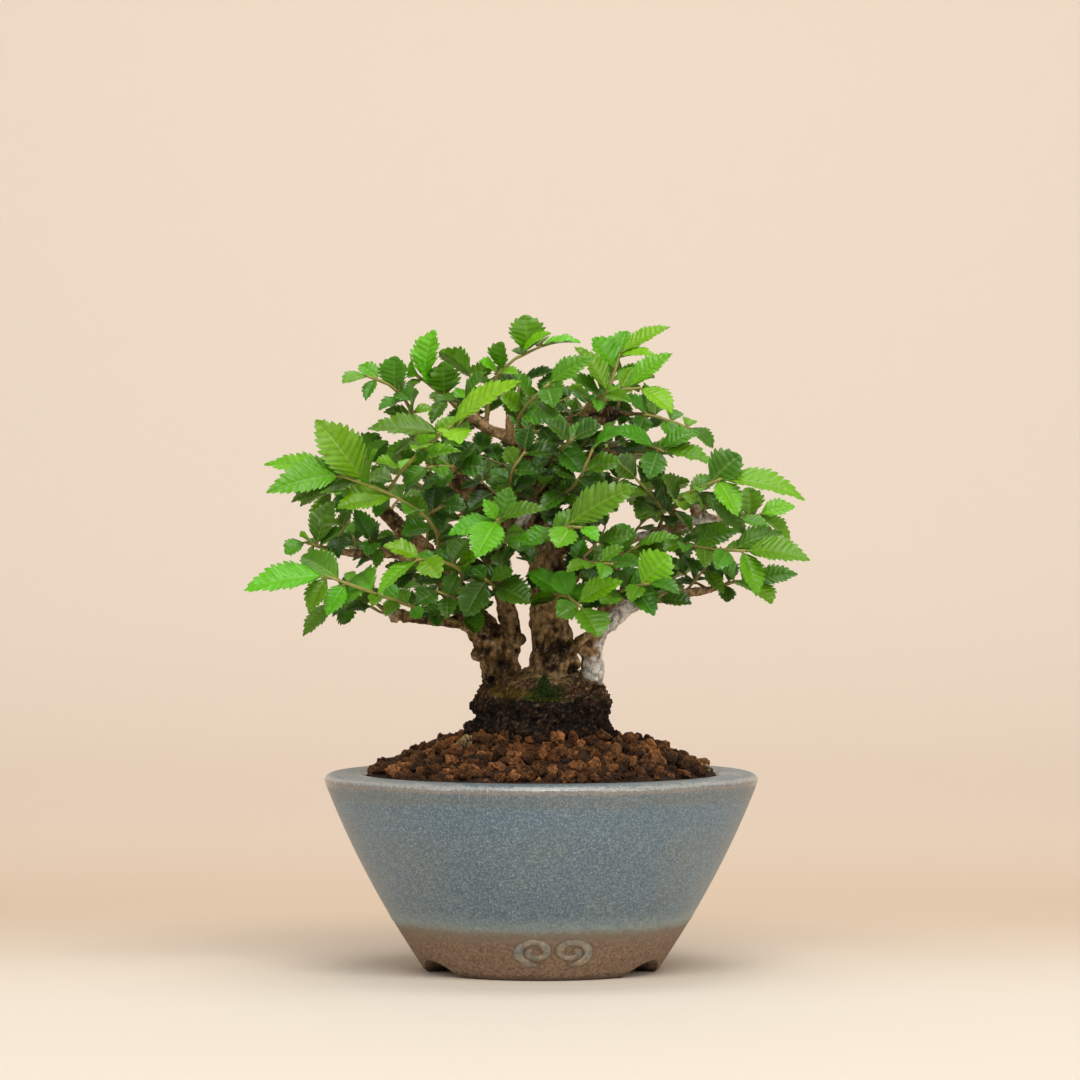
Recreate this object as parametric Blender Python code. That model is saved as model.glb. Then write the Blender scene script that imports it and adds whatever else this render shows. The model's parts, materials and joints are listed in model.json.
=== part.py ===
"""A mini elm bonsai: three short trunks on one root base, leafy shoots, loose granules and a glazed pot.

The lengths below are millimetres, measured from the pot's axis at the table; meshes are made in metres.
"""
import math
import random

import bmesh
import bpy
from mathutils import Matrix, Vector
from mathutils.bvhtree import BVHTree
from mathutils.geometry import delaunay_2d_cdt

MM = 0.001
GAP = 0.3
LEAF_GREEN = (0.1, 0.3, 0.02)
POT_AXIS_X = 3.5

# Pot
POT_SIDES = 32
FOOT_RADIUS = 29.7
RIM_RADIUS = 55.2
RIM_HEIGHT = 48.3
LIP_TOP = 50.3
LIP_INNER_RADIUS = 45.0
BELLY = 1.8
WALL = 4.2
FLOOR_TOP = 7.5
RECESS_TOP = 4.2
FOOT_RING = 5.0
DRAIN_RADIUS = 6.0
NOTCH_HALF_WIDTH = 8.7
NOTCH_HEIGHT = 3.9
NOTCH_BEARINGS = (90, 210, 330)
NOTCH_REACH = (15, 45)
NOTCH_STEPS = 8

# Scrolls raised on the front foot
SCROLL_MID_X = 3.0
SCROLL_SPACING = 9.1
SCROLL_HEIGHT = 7.7
SCROLL_TURNS = 1.5
SCROLL_OUTER = 3.5
SCROLL_INNER = 0.8
SCROLL_WIDEN = 1.4
SCROLL_BAND = 1.0
SCROLL_RELIEF = 0.45
SCROLL_SINK = 1.2
SCROLL_STEPS = 16
SCROLL_START = -75

# Inside the pot
NET_RADIUS = 10.0
NET_THICK = 0.8
NET_SIDES = 20
WIRE_HOLE_RADIUS = 0.9
WIRE_HOLE_SIDES = 8
WIRE_SIDES = 6
WIRE_RADIUS = 0.5
WIRE_HALF_WIDTH = 4.6
WIRE_FOOT = 10.5
GRAVEL_TOP = 16.0
GRAVEL_SIDES = 16
GRAVEL_RECESS = 10.8
SOIL_PEAK = 59.3
SOIL_EDGE = 50.0
GRAIN_PITCH = 6.0
GRAIN_RISE = 0.9

# Root base
BASE_X = 0.6
BASE_HALF_X = 17.6
BASE_HALF_Y = 14.6
BASE_SIDES = 16
BASE_BOTTOM = 40.0
BASE_PLAIN_TOP = 61.0
BASE_LIFT = 8.0
# The root base's rows: height, share of the half widths, and how uneven
BASE_ROWS = [
    (BASE_BOTTOM, 1.0, 0.0), (BASE_PLAIN_TOP, 1.0, 0.0), (64.3, 0.98, 0.05), (67.8, 1.04, 0.05),
    (71.0, 0.93, 0.06), (73.8, 0.84, 0.05), (75.4, 0.5, 0.05),
]

# Wood: the centre line of each limb as (x, y, z, radius)
LIMBS = {
    "left_trunk": [
        (-9, 0, 66, 6.5), (-10, -1, 75, 5.2), (-12, -2, 82, 4.6), (-16, -3, 88, 3.9), (-21, -5, 95, 3.3),
        (-26, -6, 102, 3.0), (-33, -7, 110, 2.6), (-39, -8, 116, 2.0), (-43, -9, 121, 1.2),
    ],
    "left_inner": [
        (-10, -1, 77, 3.6), (-8, 1, 84, 2.8), (-9, 3, 93, 2.4), (-11, 5, 99, 2.1), (-13, 9, 105, 1.9),
        (-16, 14, 112, 1.5), (-21, 20, 118, 1.1),
    ],
    "mid_trunk": [
        (3, 0, 66, 7.8), (3, -1, 74, 6.3), (3, -1, 82, 5.5), (2, 0, 90, 5.0), (2, 1, 98, 4.7),
        (1, 1, 106, 4.4), (0, 2, 113, 4.0), (0, 2, 121, 3.6), (0, 2, 129, 3.2), (2, 1, 135, 2.8),
        (8, 0, 139, 2.6), (14, 0, 141, 3.0), (19, 1, 142, 1.6),
    ],
    "mid_left": [
        (-1, 1, 108, 3.2), (-8, 0, 116, 3.3), (-16, -2, 121, 3.0), (-22, -3, 125, 2.2), (-27, -3, 129, 1.6),
        (-31, -3, 134, 1.1),
    ],
    "right_trunk": [
        (12, 0, 66, 4.6), (13, -1, 74, 3.1), (13, -1, 81, 2.7), (15, -2, 86, 2.5), (19, -2, 90, 2.3),
        (23, -2, 93, 2.1),
    ],
    "right_upper": [
        (16, -2, 87, 2.1), (16, 0, 93, 1.8), (18, 2, 99, 1.6), (19, 4, 105, 1.4), (22, 6, 109, 1.3),
        (28, 6, 111, 1.3), (35, 4, 113, 1.4), (41, 2, 115, 1.4), (45, 1, 115, 0.9),
    ],
    "right_low": [(17, 0, 94, 1.6), (23, -3, 96, 1.6), (29, -5, 95, 1.7), (36, -6, 96, 1.3), (43, -7, 97, 1.0)],
    "link": [(7, -4, 78, 2.6), (8, -6, 82, 1.4), (11, -5, 85, 1.1), (15, -2, 86, 1.0)],
    "left_low": [
        (-13, -3, 83, 2.4), (-19, -5, 88, 1.8), (-26, -7, 89, 1.4), (-33, -8, 90, 1.4), (-38, -9, 91, 2.0),
    ],
    "left_mid": [(-28, -7, 104, 1.8), (-37, -6, 106, 1.5), (-46, -5, 106, 1.2), (-53, -4, 107, 0.9)],
    "upper_left": [(1, 2, 128, 2.2), (-7, 3, 135, 1.8), (-14, 4, 138, 1.4), (-20, 3, 142, 1.0)],
    "crown_stub": [(-8, 3, 135, 1.5), (-8, 1, 140, 1.3), (-7, 0, 144, 1.1)],
    "right_knob": [(1, 3, 125, 2.2), (10, 5, 130, 1.6), (18, 3, 132, 1.4), (25, 0, 133, 1.1)],
    "pale_stub": [(-7, -1, 108, 1.8), (-5, -8, 114, 1.7), (-2, -9, 120, 1.5)],
    "back_right": [(1, 4, 112, 2.2), (9, 22, 117, 1.6), (19, 36, 120, 1.0)],
    "back_left": [(0, 4, 118, 2.2), (-9, 24, 124, 1.6), (-19, 38, 128, 1.0)],
    "back_top": [(2, 2, 132, 2.0), (4, 20, 138, 1.5), (9, 32, 142, 1.0)],
    "back_mid": [(1, 3, 104, 2.0), (-5, 24, 109, 1.5), (-8, 38, 112, 1.0)],
    "front_low": [(2, -2, 97, 1.8), (5, -18, 101, 1.3), (10, -28, 105, 0.9)],
}
# Burrs and cut stubs: where they sit, which way they stand out, how far and how thick
KNOBS = [
    ((-12, -3, 80), (-5, -1.5, 0.5), 2.0), ((-8, 0, 84), (3.6, -1.5, 0.4), 1.8),
    ((4, -2, 78), (4.5, -3.5, 0.5), 2.6), ((13, -1, 81), (-3.2, -2, 0.5), 1.7),
    ((-12, 7, 104), (2, -3, 3.5), 2.6), ((1, 1, 107), (6.6, -1, 1), 2.0),
    ((22, -2, 92), (2.6, -0.5, 1.5), 2.3), ((40, 2, 115), (-1, -1.5, 3), 1.7),
    ((11, 0, 140), (1, -3.2, -1), 2.4), ((-36, -9, 91), (-2, -1, -1), 2.2),
]

# Shoots read from the front: three points of the stem, then the leaves as
# (share of the stem, x, y and z of the leaf's tip, width)
SHOOTS = {
    "top_left_low": (((-31, -4, 133), (-35, -9, 146), (-44, -14, 151)), [
        (0.62, -37, -12, 156, 7.5), (0.28, -31, -13, 147, 5), (0.58, -33, -17, 145, 4),
        (1, -50, -17, 149, 4.5), (0.85, -46, -10, 154, 4),
    ]),
    "top_left_high": (((-20, 2, 142), (-27, -2, 148), (-34, -4, 153)), [
        (0.3, -25, -5, 155, 6.5), (0.55, -29, -7, 153, 4.5), (0.7, -27, -2, 163, 7.2),
        (0.82, -33, -7, 156, 5.2), (1, -37, -2, 153, 5),
    ]),
    "top_left_inner": (((-16, 4, 140), (-17, 6, 147), (-18, 7, 152)), [
        (0.6, -14, 2, 148, 4), (1, -26, 4, 158, 6), (0.4, -22, 1, 146, 5), (0.8, -20, 13, 153, 5),
    ]),
    "crown_left": (((-14, 3, 139), (-11, 2, 152), (0, 3, 159)), [
        (0.85, -4, 2, 167, 7.4), (0.5, -16, 0, 155, 4), (0.56, -10, -1, 160, 6.2), (0.8, 4, -3, 162, 4.5),
        (1, 10, 0, 160, 5), (0.5, -6, -3, 152, 3.5),
    ]),
    "front_left_bright": (((-39, -10, 117), (-35, -26, 127), (-22, -42, 138)), [
        (0.5, -41, -30, 129, 5), (0.35, -43, -20, 126, 4.5), (0.6, -20, -34, 132, 5), (0.78, -31, -44, 132, 5),
        (0.92, -43, -38, 137, 6.5), (0.96, -20, -50, 134, 6.5), (1, -5, -48, 149, 6.5),
    ]),
    "top_front": (((2, -2, 135), (-6, -10, 140), (2, -16, 149)), [
        (0.62, -10, -14, 146, 6), (0.55, 6, -16, 140, 5), (0.8, -7, -18, 151, 5), (0.97, 3, -22, 143, 5),
        (1, 13, -17, 156, 5),
    ]),
    "top_right_bright": (((8, -2, 139), (15, -8, 146), (25, -14, 148)), [
        (0.3, 7, -10, 148, 5), (0.5, 7, -11, 151, 4.5), (0.6, 9, -9, 159, 6), (0.55, 25, -16, 145, 4),
        (0.85, 33, -12, 157, 5), (1, 33, -18, 142, 6),
    ]),
    "apex": (((14, 1, 142), (18, 1, 150), (20, 3, 157)), [
        (1, 33, 3, 164, 4.5), (0.95, 29, -5, 156, 4), (0.7, 13, 1, 161, 8.5), (0.9, 22, 9, 163, 5),
        (0.5, 28, 5, 154, 3.5), (0.4, 12, 5, 152, 5),
    ]),
    "right_top": (((19, 1, 142), (29, 2, 141), (38, 4, 138)), [
        (0.35, 21, 0, 146, 5), (0.5, 29, 4, 145, 4.5), (0.3, 25, -2, 137, 4.5), (0.75, 34, 7, 143, 4),
        (0.65, 33, 0, 136, 4.5), (1, 44, 4, 133, 5),
    ]),
    "right_upper_shoot": (((25, 0, 133), (28, -5, 133), (31, -8, 132)), [
        (0.7, 17, -8, 138, 5), (0.85, 40, -6, 137, 5.5), (0.8, 27, -12, 125, 5.5), (1, 43, -10, 129, 6),
    ]),
    "right_big": (((36, 2, 113), (34, -8, 119), (45, -20, 125)), [
        (0.5, 31, -12, 126, 6), (0.55, 36, -16, 117, 4.5), (0.8, 52, -17, 110, 5), (0.9, 50, -18, 131, 8),
        (0.97, 49, -27, 116, 5.5), (1, 66, -24, 121, 7.5),
    ]),
    "right_mid": (((45, 1, 115), (52, 3, 115), (56, 5, 116)), [
        (0.3, 59, 1, 112, 3.6), (0.65, 53, 4, 123, 6.5), (0.95, 65, 6, 118, 4.5), (1, 64, 8, 108, 6.5),
    ]),
    "right_low_big": (((29, 4, 111), (38, -10, 108), (51, -22, 107)), [
        (1, 67, -26, 105, 7), (0.9, 61, -20, 112, 6), (0.97, 54, -26, 96, 5.5), (0.55, 46, -22, 102, 6),
        (0.35, 31, -8, 107, 5), (0.5, 50, -10, 112, 5),
    ]),
    "right_bottom": (((43, -7, 97), (49, -8, 99), (53, -9, 99)), [
        (0.1, 39, 0, 103, 6), (0.15, 47, -10, 94, 4), (0.5, 44, -9, 106, 5), (0.5, 53, -14, 97, 3),
        (0.95, 58, -14, 93, 6), (1, 65, -8, 101, 4.6),
    ]),
    "left_big": (((-26, -9, 102), (-29, -26, 116), (-50, -34, 126)), [
        (0.88, -56, -30, 140, 9), (0.86, -40, -44, 132, 6), (0.35, -35, -22, 111, 6.5), (0.72, -51, -34, 118, 8),
        (0.9, -53, -28, 123, 4.5), (0.98, -62, -32, 119, 4.5),
        (0.98, -69, -30, 129, 5.5), (1, -68, -40, 122, 7),
    ]),
    "left_low_big": (((-19, -7, 88), (-35, -23, 94), (-54, -28, 101)), [
        (0.4, -31, -10, 94, 5), (0.42, -31, -20, 91, 4.5), (0.7, -46, -18, 101, 7), (0.75, -52, -20, 96, 4.5),
        (0.9, -60, -22, 106, 7), (0.98, -58, -30, 92, 4.8), (1, -74, -30, 97, 7.5),
    ]),
    "left_mid_bright": (((-20, -8, 95), (-21, -24, 103), (-31, -36, 105)), [
        (0.5, -16, -26, 106, 5), (0.6, -18, -24, 110, 6), (0.95, -25, -42, 101, 5.5), (1, -40, -40, 96, 5),
    ]),
    "centre_bright": (((-8, -4, 115), (-7, -20, 110), (-11, -34, 115)), [
        (0.5, -3, -20, 108, 5), (0.9, -8, -30, 123, 5), (0.95, -23, -34, 111, 5.5), (0.98, -16, -42, 106, 7),
        (1, 1, -38, 118, 4.6),
    ]),
    "centre_right_bright": (((1, -4, 105), (3, -22, 112), (10, -34, 113)), [
        (0.55, -5, -24, 108, 5), (0.75, 24, -30, 123, 8), (0.85, 4, -36, 108, 7), (1, 14, -38, 110, 3.6),
    ]),
    "bottom_centre": (((2, -6, 91), (5, -20, 96), (10, -32, 93)), [
        (0.5, -3, -20, 103, 5.5), (0.75, 4, -26, 102, 5.5), (0.9, 20, -32, 100, 5.5), (0.95, 4, -34, 91, 5.5),
        (1, 14, -38, 86, 7.5),
    ]),
    "bottom_right": (((17, -2, 94), (20, -18, 97), (27, -28, 99)), [
        (0.85, 32, -26, 106, 8), (1, 37, -32, 97, 5), (0.75, 28, -30, 91, 5.5), (0.45, 15, -22, 94, 5),
        (0.6, 19, -22, 102, 5),
    ]),
    "right_centre": (((18, 0, 99), (19, -14, 104), (24, -22, 108)), [
        (0.4, 15, -10, 108, 5.5), (0.5, 25, -18, 104, 3.8), (0.7, 20, -16, 114, 6), (0.8, 30, -24, 107, 5.5),
        (1, 35, -20, 109, 5),
    ]),
    "bottom_left_centre": (((-9, 0, 93), (-11, -16, 97), (-14, -24, 100)), [
        (0.7, -3, -26, 94, 7), (0.85, -7, -22, 102, 4.5), (0.95, -19, -28, 91, 6.8), (1, -17, -22, 103, 5),
    ]),
    "left_bottom": (((-15, -7, 88), (-19, -16, 93), (-26, -24, 97)), [
        (0.4, -33, -20, 89, 5), (0.5, -18, -20, 97, 5), (0.85, -21, -22, 101, 5), (1, -31, -28, 94, 5),
    ]),
    "left_far": (((-53, -4, 107), (-57, -4, 108), (-60, -5, 109)), [
        (0.2, -48, -6, 111, 5), (0.35, -52, -2, 120, 6.5), (0.6, -61, -8, 111, 4.5), (0.6, -56, -2, 104, 4.5),
        (1, -65, -6, 106, 4.8),
    ]),
    "left_under": (((-38, -8, 91), (-46, 0, 95), (-53, 4, 93)), [
        (0.5, -45, 2, 91, 4), (0.9, -50, 6, 88, 4.8), (1, -61, 2, 85, 4.4),
    ]),
    "left_upper_back": (((-38, -6, 116), (-43, 6, 124), (-46, 12, 132)), [
        (0.5, -49, 8, 121, 5), (0.6, -39, 4, 128, 5.5), (0.95, -42, 10, 137, 5.5), (1, -50, 14, 136, 4.5),
    ]),
    "left_behind": (((-43, -8, 120), (-50, 2, 124), (-54, 8, 122)), [
        (0.5, -49, 0, 115, 5.5), (0.95, -57, 6, 110, 6.5), (1, -62, 10, 118, 4.6),
    ]),
    "inner_left": (((-33, -9, 110), (-30, -16, 115), (-25, -20, 118)), [
        (0.55, -34, -18, 114, 7), (0.75, -23, -22, 112, 6.5), (0.8, -27, -16, 123, 5.5), (1, -19, -22, 118, 5),
    ]),
    "inner_mid": (((1, -2, 128), (4, -14, 132), (8, -22, 135)), [
        (0.45, 0, -12, 138, 6.5), (0.6, 10, -20, 127, 6), (0.9, 2, -24, 139, 6.5), (1, 15, -24, 138, 6),
    ]),
    "inner_right": (((1, -2, 120), (8, -18, 123), (13, -24, 133)), [
        (0.6, 3, -20, 129, 6), (0.55, 16, -20, 124, 4.8), (0.75, 20, -24, 129, 5.5), (1, 19, -30, 139, 6),
    ]),
    "inner_right_low": (((30, 4, 112), (30, -6, 118), (24, -10, 125)), [
        (0.6, 31, -12, 124, 7), (0.45, 24, -12, 115, 6), (0.75, 20, -12, 121, 5), (1, 18, -12, 130, 7.5),
        (0.9, 28, -8, 130, 5),
    ]),
    "inner_left_low": (((0, -2, 118), (-8, -14, 124), (-4, -18, 132)), [
        (0.5, -10, -16, 120, 5), (0.7, -1, -20, 127, 4.5), (0.8, -9, -18, 133, 5.5), (0.95, 5, -20, 132, 5),
        (1, -3, -18, 138, 7.5),
    ]),
    "left_dark": (((-22, -5, 125), (-22, -14, 128), (-28, -22, 128)), [
        (0.4, -14, -14, 128, 6.5), (0.55, -17, -12, 134, 6), (0.7, -25, -20, 123, 6), (1, -34, -24, 123, 7),
        (0.95, -28, -22, 134, 5),
    ]),
}
# Shoots on the sides that the front doesn't show: the stem, how many leaves, and the longest leaf
REAR_SHOOTS = {
    "back_right_tip": (((19, 36, 120), (26, 40, 121), (34, 44, 120)), 5, 12),
    "back_right_up": (((9, 22, 117), (14, 29, 126), (17, 34, 134)), 6, 11),
    "back_left_tip": (((-19, 38, 128), (-26, 41, 130), (-33, 43, 131)), 5, 12),
    "back_left_low": (((-9, 24, 124), (-19, 31, 117), (-29, 35, 112)), 5, 12),
    "back_top_tip": (((9, 32, 142), (12, 38, 144), (16, 43, 143)), 5, 10),
    "back_top_left": (((4, 20, 138), (-5, 26, 145), (-13, 30, 149)), 5, 11),
    "back_mid_tip": (((-8, 38, 112), (-8, 42, 113), (-5, 48, 112)), 5, 9),
    "back_mid_right": (((-5, 24, 109), (5, 34, 105), (14, 40, 102)), 5, 11),
    "back_far_right": (((35, 4, 113), (42, 16, 112), (47, 25, 114)), 5, 12),
    "back_far_left": (((-37, -6, 106), (-43, 8, 106), (-48, 20, 109)), 5, 12),
    "back_low_right": (((23, -3, 96), (29, 11, 97), (34, 20, 100)), 5, 11),
    "back_low_left": (((-13, 9, 105), (-19, 20, 100), (-27, 27, 98)), 5, 11),
    "back_upper_left": (((-21, 20, 118), (-27, 24, 121), (-36, 26, 126)), 6, 11),
    "back_upper_right": (((18, 3, 132), (25, 14, 131), (32, 23, 132)), 5, 11),
    "front_low_tip": (((10, -28, 105), (13, -34, 104), (18, -40, 104)), 5, 9),
}

# Bark: how far it stands in and out, and the sides of thick, middling and thin limbs
BARK_UNEVEN = (0.93, 1.1)
LIMB_SIDES = ((4.0, 6), (1.9, 5), (0.0, 4))
KNOB_ROWS = ((0.3, 0.9), (0.85, 1.1), (1.25, 0.6))
KNOB_SIDES = 5

# Leaf and stem sizes
STUB_REACH = 1.4
STUB_RADIUS = 1.0
SHORT_STEM = 2.5
STEM_RADIUS = 0.6
STEM_TIP_RADIUS = 0.42
STEM_STEPS = 4
STEM_SIDES = 3
LAST_ROOT = 0.985
BLADE_THICK = 0.9
PETIOLE = 0.1
SMALL_LEAF = 8.0
FOLD = 0.3
ARCH = 0.07
WIDEN = 1.2
TEETH = ((13.5, 4), (SMALL_LEAF, 3), (0.0, 2))
TOOTH_STEP = 0.62
TOOTH_CUT = (0.025, 0.82)
LARGE_RIBS = (0.22, 0.62)
SMALL_RIBS = (0.38,)

# How a leaf's face looks: upward, away from the trunks, and to the front or back of this line
LOOK_UP = 0.75
LOOK_OUT = 0.2
LOOK_FRONT = -0.6
LOOK_BACK = 0.5
FRONT_LINE = 6.0
WANDER = (0.3, 0.2, 0.2)

# The rear shoots' leaves
FIRST_LEAF = 0.3
SPREAD = (45, 65)
END_SPREAD = 12
REAR_LENGTH = (0.85, 1.05)
REAR_WIDTH = (0.45, 0.58)

# Keeping leaves clear of the rest: the room, and how far a leaf is shifted and shrunk to find it
CLEAR = 0.25
BARK_ROOM = 1.12
NECK = 0.12
BLADE_START = 0.34
PROXY_ROWS = ((0.5, 1.0), (0.78, 0.75))
THIN_EDGE = 0.7
PROXY_SIDES = 7
TRIES = 60
SHIFT = 0.07
SHIFT_DEPTH = 2.2
SHRINK = 0.004
SEED = 11


def curve_point(stem, share):
    """The point at a share of the way along the smooth curve through a stem's three points."""
    start, middle, end = stem
    return (start * (2 * (share - 0.5) * (share - 1)) + middle * (4 * share * (1 - share))
            + end * (2 * share * (share - 0.5)))


def blade_profile(share):
    """A blade's half width, as a share of the widest, at a share of its length: widest past the middle."""
    return math.sin(math.pi * share ** 1.15) ** 0.7


class Leaf:
    """One leaf: its root on the stem, its tip, its width and the way its face looks."""

    def __init__(self, root, tip, width, face):
        self.root = root
        self.along = (tip - root).normalized()
        self.length = (tip - root).length
        self.half = min(width / 2, self.length * 0.45)
        face = face - self.along * face.dot(self.along)
        self.face = face.normalized()
        self.side = self.face.cross(self.along).normalized()

    def point(self, share, across, lift=0.0):
        """A point at a share of the length, across in half widths, lifted off the blade in millimetres."""
        bow = ARCH * self.length * 4 * share * (1 - share)
        fold = FOLD * self.half * abs(across)
        return (self.root + self.along * (self.length * share) + self.side * (self.half * across)
                + self.face * (bow + fold + lift))


def proxy(leaf, first):
    """A plain closed slab round a leaf from a share of its length on, for keeping others clear."""
    swell = 1 + CLEAR / leaf.half
    rows = [(first, 0.5), *PROXY_ROWS]
    vertices = []
    for lift in (-BLADE_THICK / 2 - CLEAR, BLADE_THICK / 2 + CLEAR):
        for share, across in rows:
            for sign in (-1, 0, 1):
                rise = lift if sign == 0 else lift * THIN_EDGE
                vertices.append(leaf.point(share, sign * across * swell, rise))
        vertices.append(leaf.point(1 + CLEAR / leaf.length, 0, lift * THIN_EDGE))
    loop = [0, 3, 6, 9, 8, 5, 2, 1]
    faces = []
    for offset in (0, 10):
        for row in (0, 3):
            for column in (0, 1):
                a = offset + row + column
                faces += [(a, a + 1, a + 4), (a, a + 4, a + 3)]
        faces += [(offset + 6, offset + 7, offset + 9), (offset + 7, offset + 8, offset + 9)]
    for a, b in zip(loop, loop[1:] + loop[:1]):
        faces += [(a, b, b + 10), (a, b + 10, a + 10)]
    return BVHTree.FromPolygons(vertices, faces)


def tube_mesh(points, radii, sides, turn=0.0):
    """Vertices and faces of a closed tube along points."""
    vertices = []
    faces = []
    normal = None
    for i, point in enumerate(points):
        ahead = points[min(i + 1, len(points) - 1)] - points[max(i - 1, 0)]
        ahead.normalize()
        if normal is None:
            normal = ahead.orthogonal().normalized()
        normal = (normal - ahead * normal.dot(ahead)).normalized()
        across = ahead.cross(normal)
        for k in range(sides):
            angle = turn + 2 * math.pi * k / sides
            vertices.append(point + (normal * math.cos(angle) + across * math.sin(angle)) * radii[i])
    for i in range(len(points) - 1):
        for k in range(sides):
            a = i * sides + k
            b = i * sides + (k + 1) % sides
            faces.append((a, b, b + sides, a + sides))
    last = (len(points) - 1) * sides
    faces.append(tuple(reversed(range(sides))))
    faces.append(tuple(last + k for k in range(sides)))
    return vertices, faces


def tube_proxy(points, radii, sides):
    """The same tube, a little fatter, for keeping others clear."""
    vertices, faces = tube_mesh(points, [radius + CLEAR for radius in radii], sides)
    return BVHTree.FromPolygons(vertices, faces)


def limb_parts(limb):
    """A limb's points and radii."""
    return [Vector(p[:3]) for p in limb], [p[3] for p in limb]


def nearest_wood(point):
    """The nearest point on a limb's centre line, and the limb's radius there."""
    best = None
    for limb in LIMBS.values():
        points, radii = limb_parts(limb)
        for a, b, first, second in zip(points, points[1:], radii, radii[1:]):
            span = b - a
            share = min(max((point - a).dot(span) / span.length_squared, 0), 1)
            place = a + span * share
            if best is None or (place - point).length < best[0]:
                best = ((place - point).length, place, first + (second - first) * share)
    return best[1:]


def facing(point, rng):
    """Which way a leaf's face looks: up, outward, and to the front or the back."""
    outward = Vector((point.x, point.y, 0))
    outward = outward / max(outward.length, 1)
    front = Vector((0, LOOK_FRONT if point.y < FRONT_LINE else LOOK_BACK, 0))
    wander = Vector([rng.uniform(-reach, reach) for reach in WANDER])
    return Vector((0, 0, LOOK_UP)) + outward * LOOK_OUT + front + wander


def rear_leaves(stem, count, longest, rng):
    """Leaves in two ranks along a stem, growing towards its end, as the tables give them."""
    leaves = []
    for k in range(count):
        share = FIRST_LEAF + (1 - FIRST_LEAF) * k / (count - 1)
        root = curve_point(stem, share)
        ahead = (curve_point(stem, min(share + 0.05, 1.0)) - curve_point(stem, share - 0.05)).normalized()
        side = facing(root, rng).cross(ahead).normalized()
        turn = math.radians(rng.uniform(*SPREAD)) * (-1 if k % 2 else 1)
        if k == count - 1:
            turn = math.radians(rng.uniform(-END_SPREAD, END_SPREAD))
        length = longest * (0.6 + 0.4 * share) * rng.uniform(*REAR_LENGTH)
        tip = root + (ahead * math.cos(turn) + side * math.sin(turn)) * length
        leaves.append((share, tip.x, tip.y, tip.z, length * rng.uniform(*REAR_WIDTH)))
    return leaves


class Shoot:
    """A stem with its leaves, and the stub of wood that it stands on."""

    def __init__(self, stub, stem):
        self.stub = stub
        self.stem = stem
        self.leaves = []

    def root(self, share):
        """The point at a share of the way along the stem's straight pieces."""
        at = min(share, LAST_ROOT) * STEM_STEPS
        piece = int(at)
        start = curve_point(self.stem, piece / STEM_STEPS)
        return start.lerp(curve_point(self.stem, (piece + 1) / STEM_STEPS), at - piece)

    def stem_points(self):
        points = [curve_point(self.stem, k / STEM_STEPS) for k in range(STEM_STEPS + 1)]
        radii = [STEM_RADIUS + (STEM_TIP_RADIUS - STEM_RADIUS) * k / STEM_STEPS for k in range(STEM_STEPS + 1)]
        return points, radii


def place_stem(anchors, taken, rng):
    """A shoot whose stem starts on the end of its stub and passes clear of what is there."""
    base, middle, tip = (Vector(p) for p in anchors)
    base, radius = nearest_wood(base)
    reach = radius + STUB_REACH
    for attempt in range(TRIES):
        spread = 0.0 if attempt == 0 else 1.0 + attempt * 0.08
        shift = Vector([rng.uniform(-spread, spread) for _ in range(3)])
        aim = (middle + shift - base).normalized()
        start = base + aim * (reach + GAP)
        shoot = Shoot((base, base + aim * reach), None)
        near = (middle - base).length < reach + SHORT_STEM
        shoot.stem = (start, (start + tip) / 2 if near else middle + shift, tip)
        points, radii = shoot.stem_points()
        body = tube_proxy([points[0].lerp(points[1], 0.35)] + points[1:], radii, PROXY_SIDES)
        if not any(body.overlap(other) for other in taken):
            break
    return shoot


def grow():
    """All the shoots, each with its leaves set clear of the wood, the other stems and the other leaves."""
    rng = random.Random(SEED)
    taken = []
    for limb in LIMBS.values():
        points, radii = limb_parts(limb)
        taken.append(tube_proxy(points, [radius * BARK_ROOM for radius in radii], PROXY_SIDES))
    shoots = {}
    wanted = {}
    for name, (anchors, leaves) in SHOOTS.items():
        shoots[name] = place_stem(anchors, taken, rng)
        wanted[name] = leaves
    for name, (anchors, count, longest) in REAR_SHOOTS.items():
        shoots[name] = place_stem(anchors, taken, rng)
        wanted[name] = rear_leaves(shoots[name].stem, count, longest, rng)
    stems = {}
    for name, shoot in shoots.items():
        stems[name] = tube_proxy(*shoot.stem_points(), PROXY_SIDES)
        taken.append(tube_proxy(list(shoot.stub), [STUB_RADIUS, STUB_RADIUS], PROXY_SIDES))
    for number, (name, shoot) in enumerate(shoots.items()):
        rng = random.Random(SEED + number)
        others = taken + [body for key, body in stems.items() if key != name]
        own = [stems[name]]
        for share, x, y, z, width in wanted[name]:
            root = shoot.root(share)
            aim = Vector((x, y, z))
            for attempt in range(TRIES):
                shift = Vector([rng.uniform(-1, 1) for _ in range(3)]) * attempt * SHIFT
                shift.y *= SHIFT_DEPTH
                shrink = 1 - SHRINK * attempt
                tip = root + (aim + shift - root) * shrink
                leaf = Leaf(root, tip, width * WIDEN * shrink, facing(root, rng))
                whole = proxy(leaf, NECK)
                blade = proxy(leaf, BLADE_START)
                if any(whole.overlap(other) for other in others) or any(blade.overlap(other) for other in own):
                    continue
                shoot.leaves.append(leaf)
                own.append(blade)
                taken.append(whole)
                break
    return shoots


# Making meshes

def clear_scene():
    for item in list(bpy.data.objects):
        bpy.data.objects.remove(item, do_unlink=True)


def make_material(name, color, roughness, metallic=0.0):
    material = bpy.data.materials.new(name)
    material.use_nodes = True
    shader = material.node_tree.nodes["Principled BSDF"]
    shader.inputs["Base Color"].default_value = (*color, 1.0)
    shader.inputs["Roughness"].default_value = roughness
    shader.inputs["Metallic"].default_value = metallic
    material.diffuse_color = (*color, 1.0)
    return material


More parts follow.
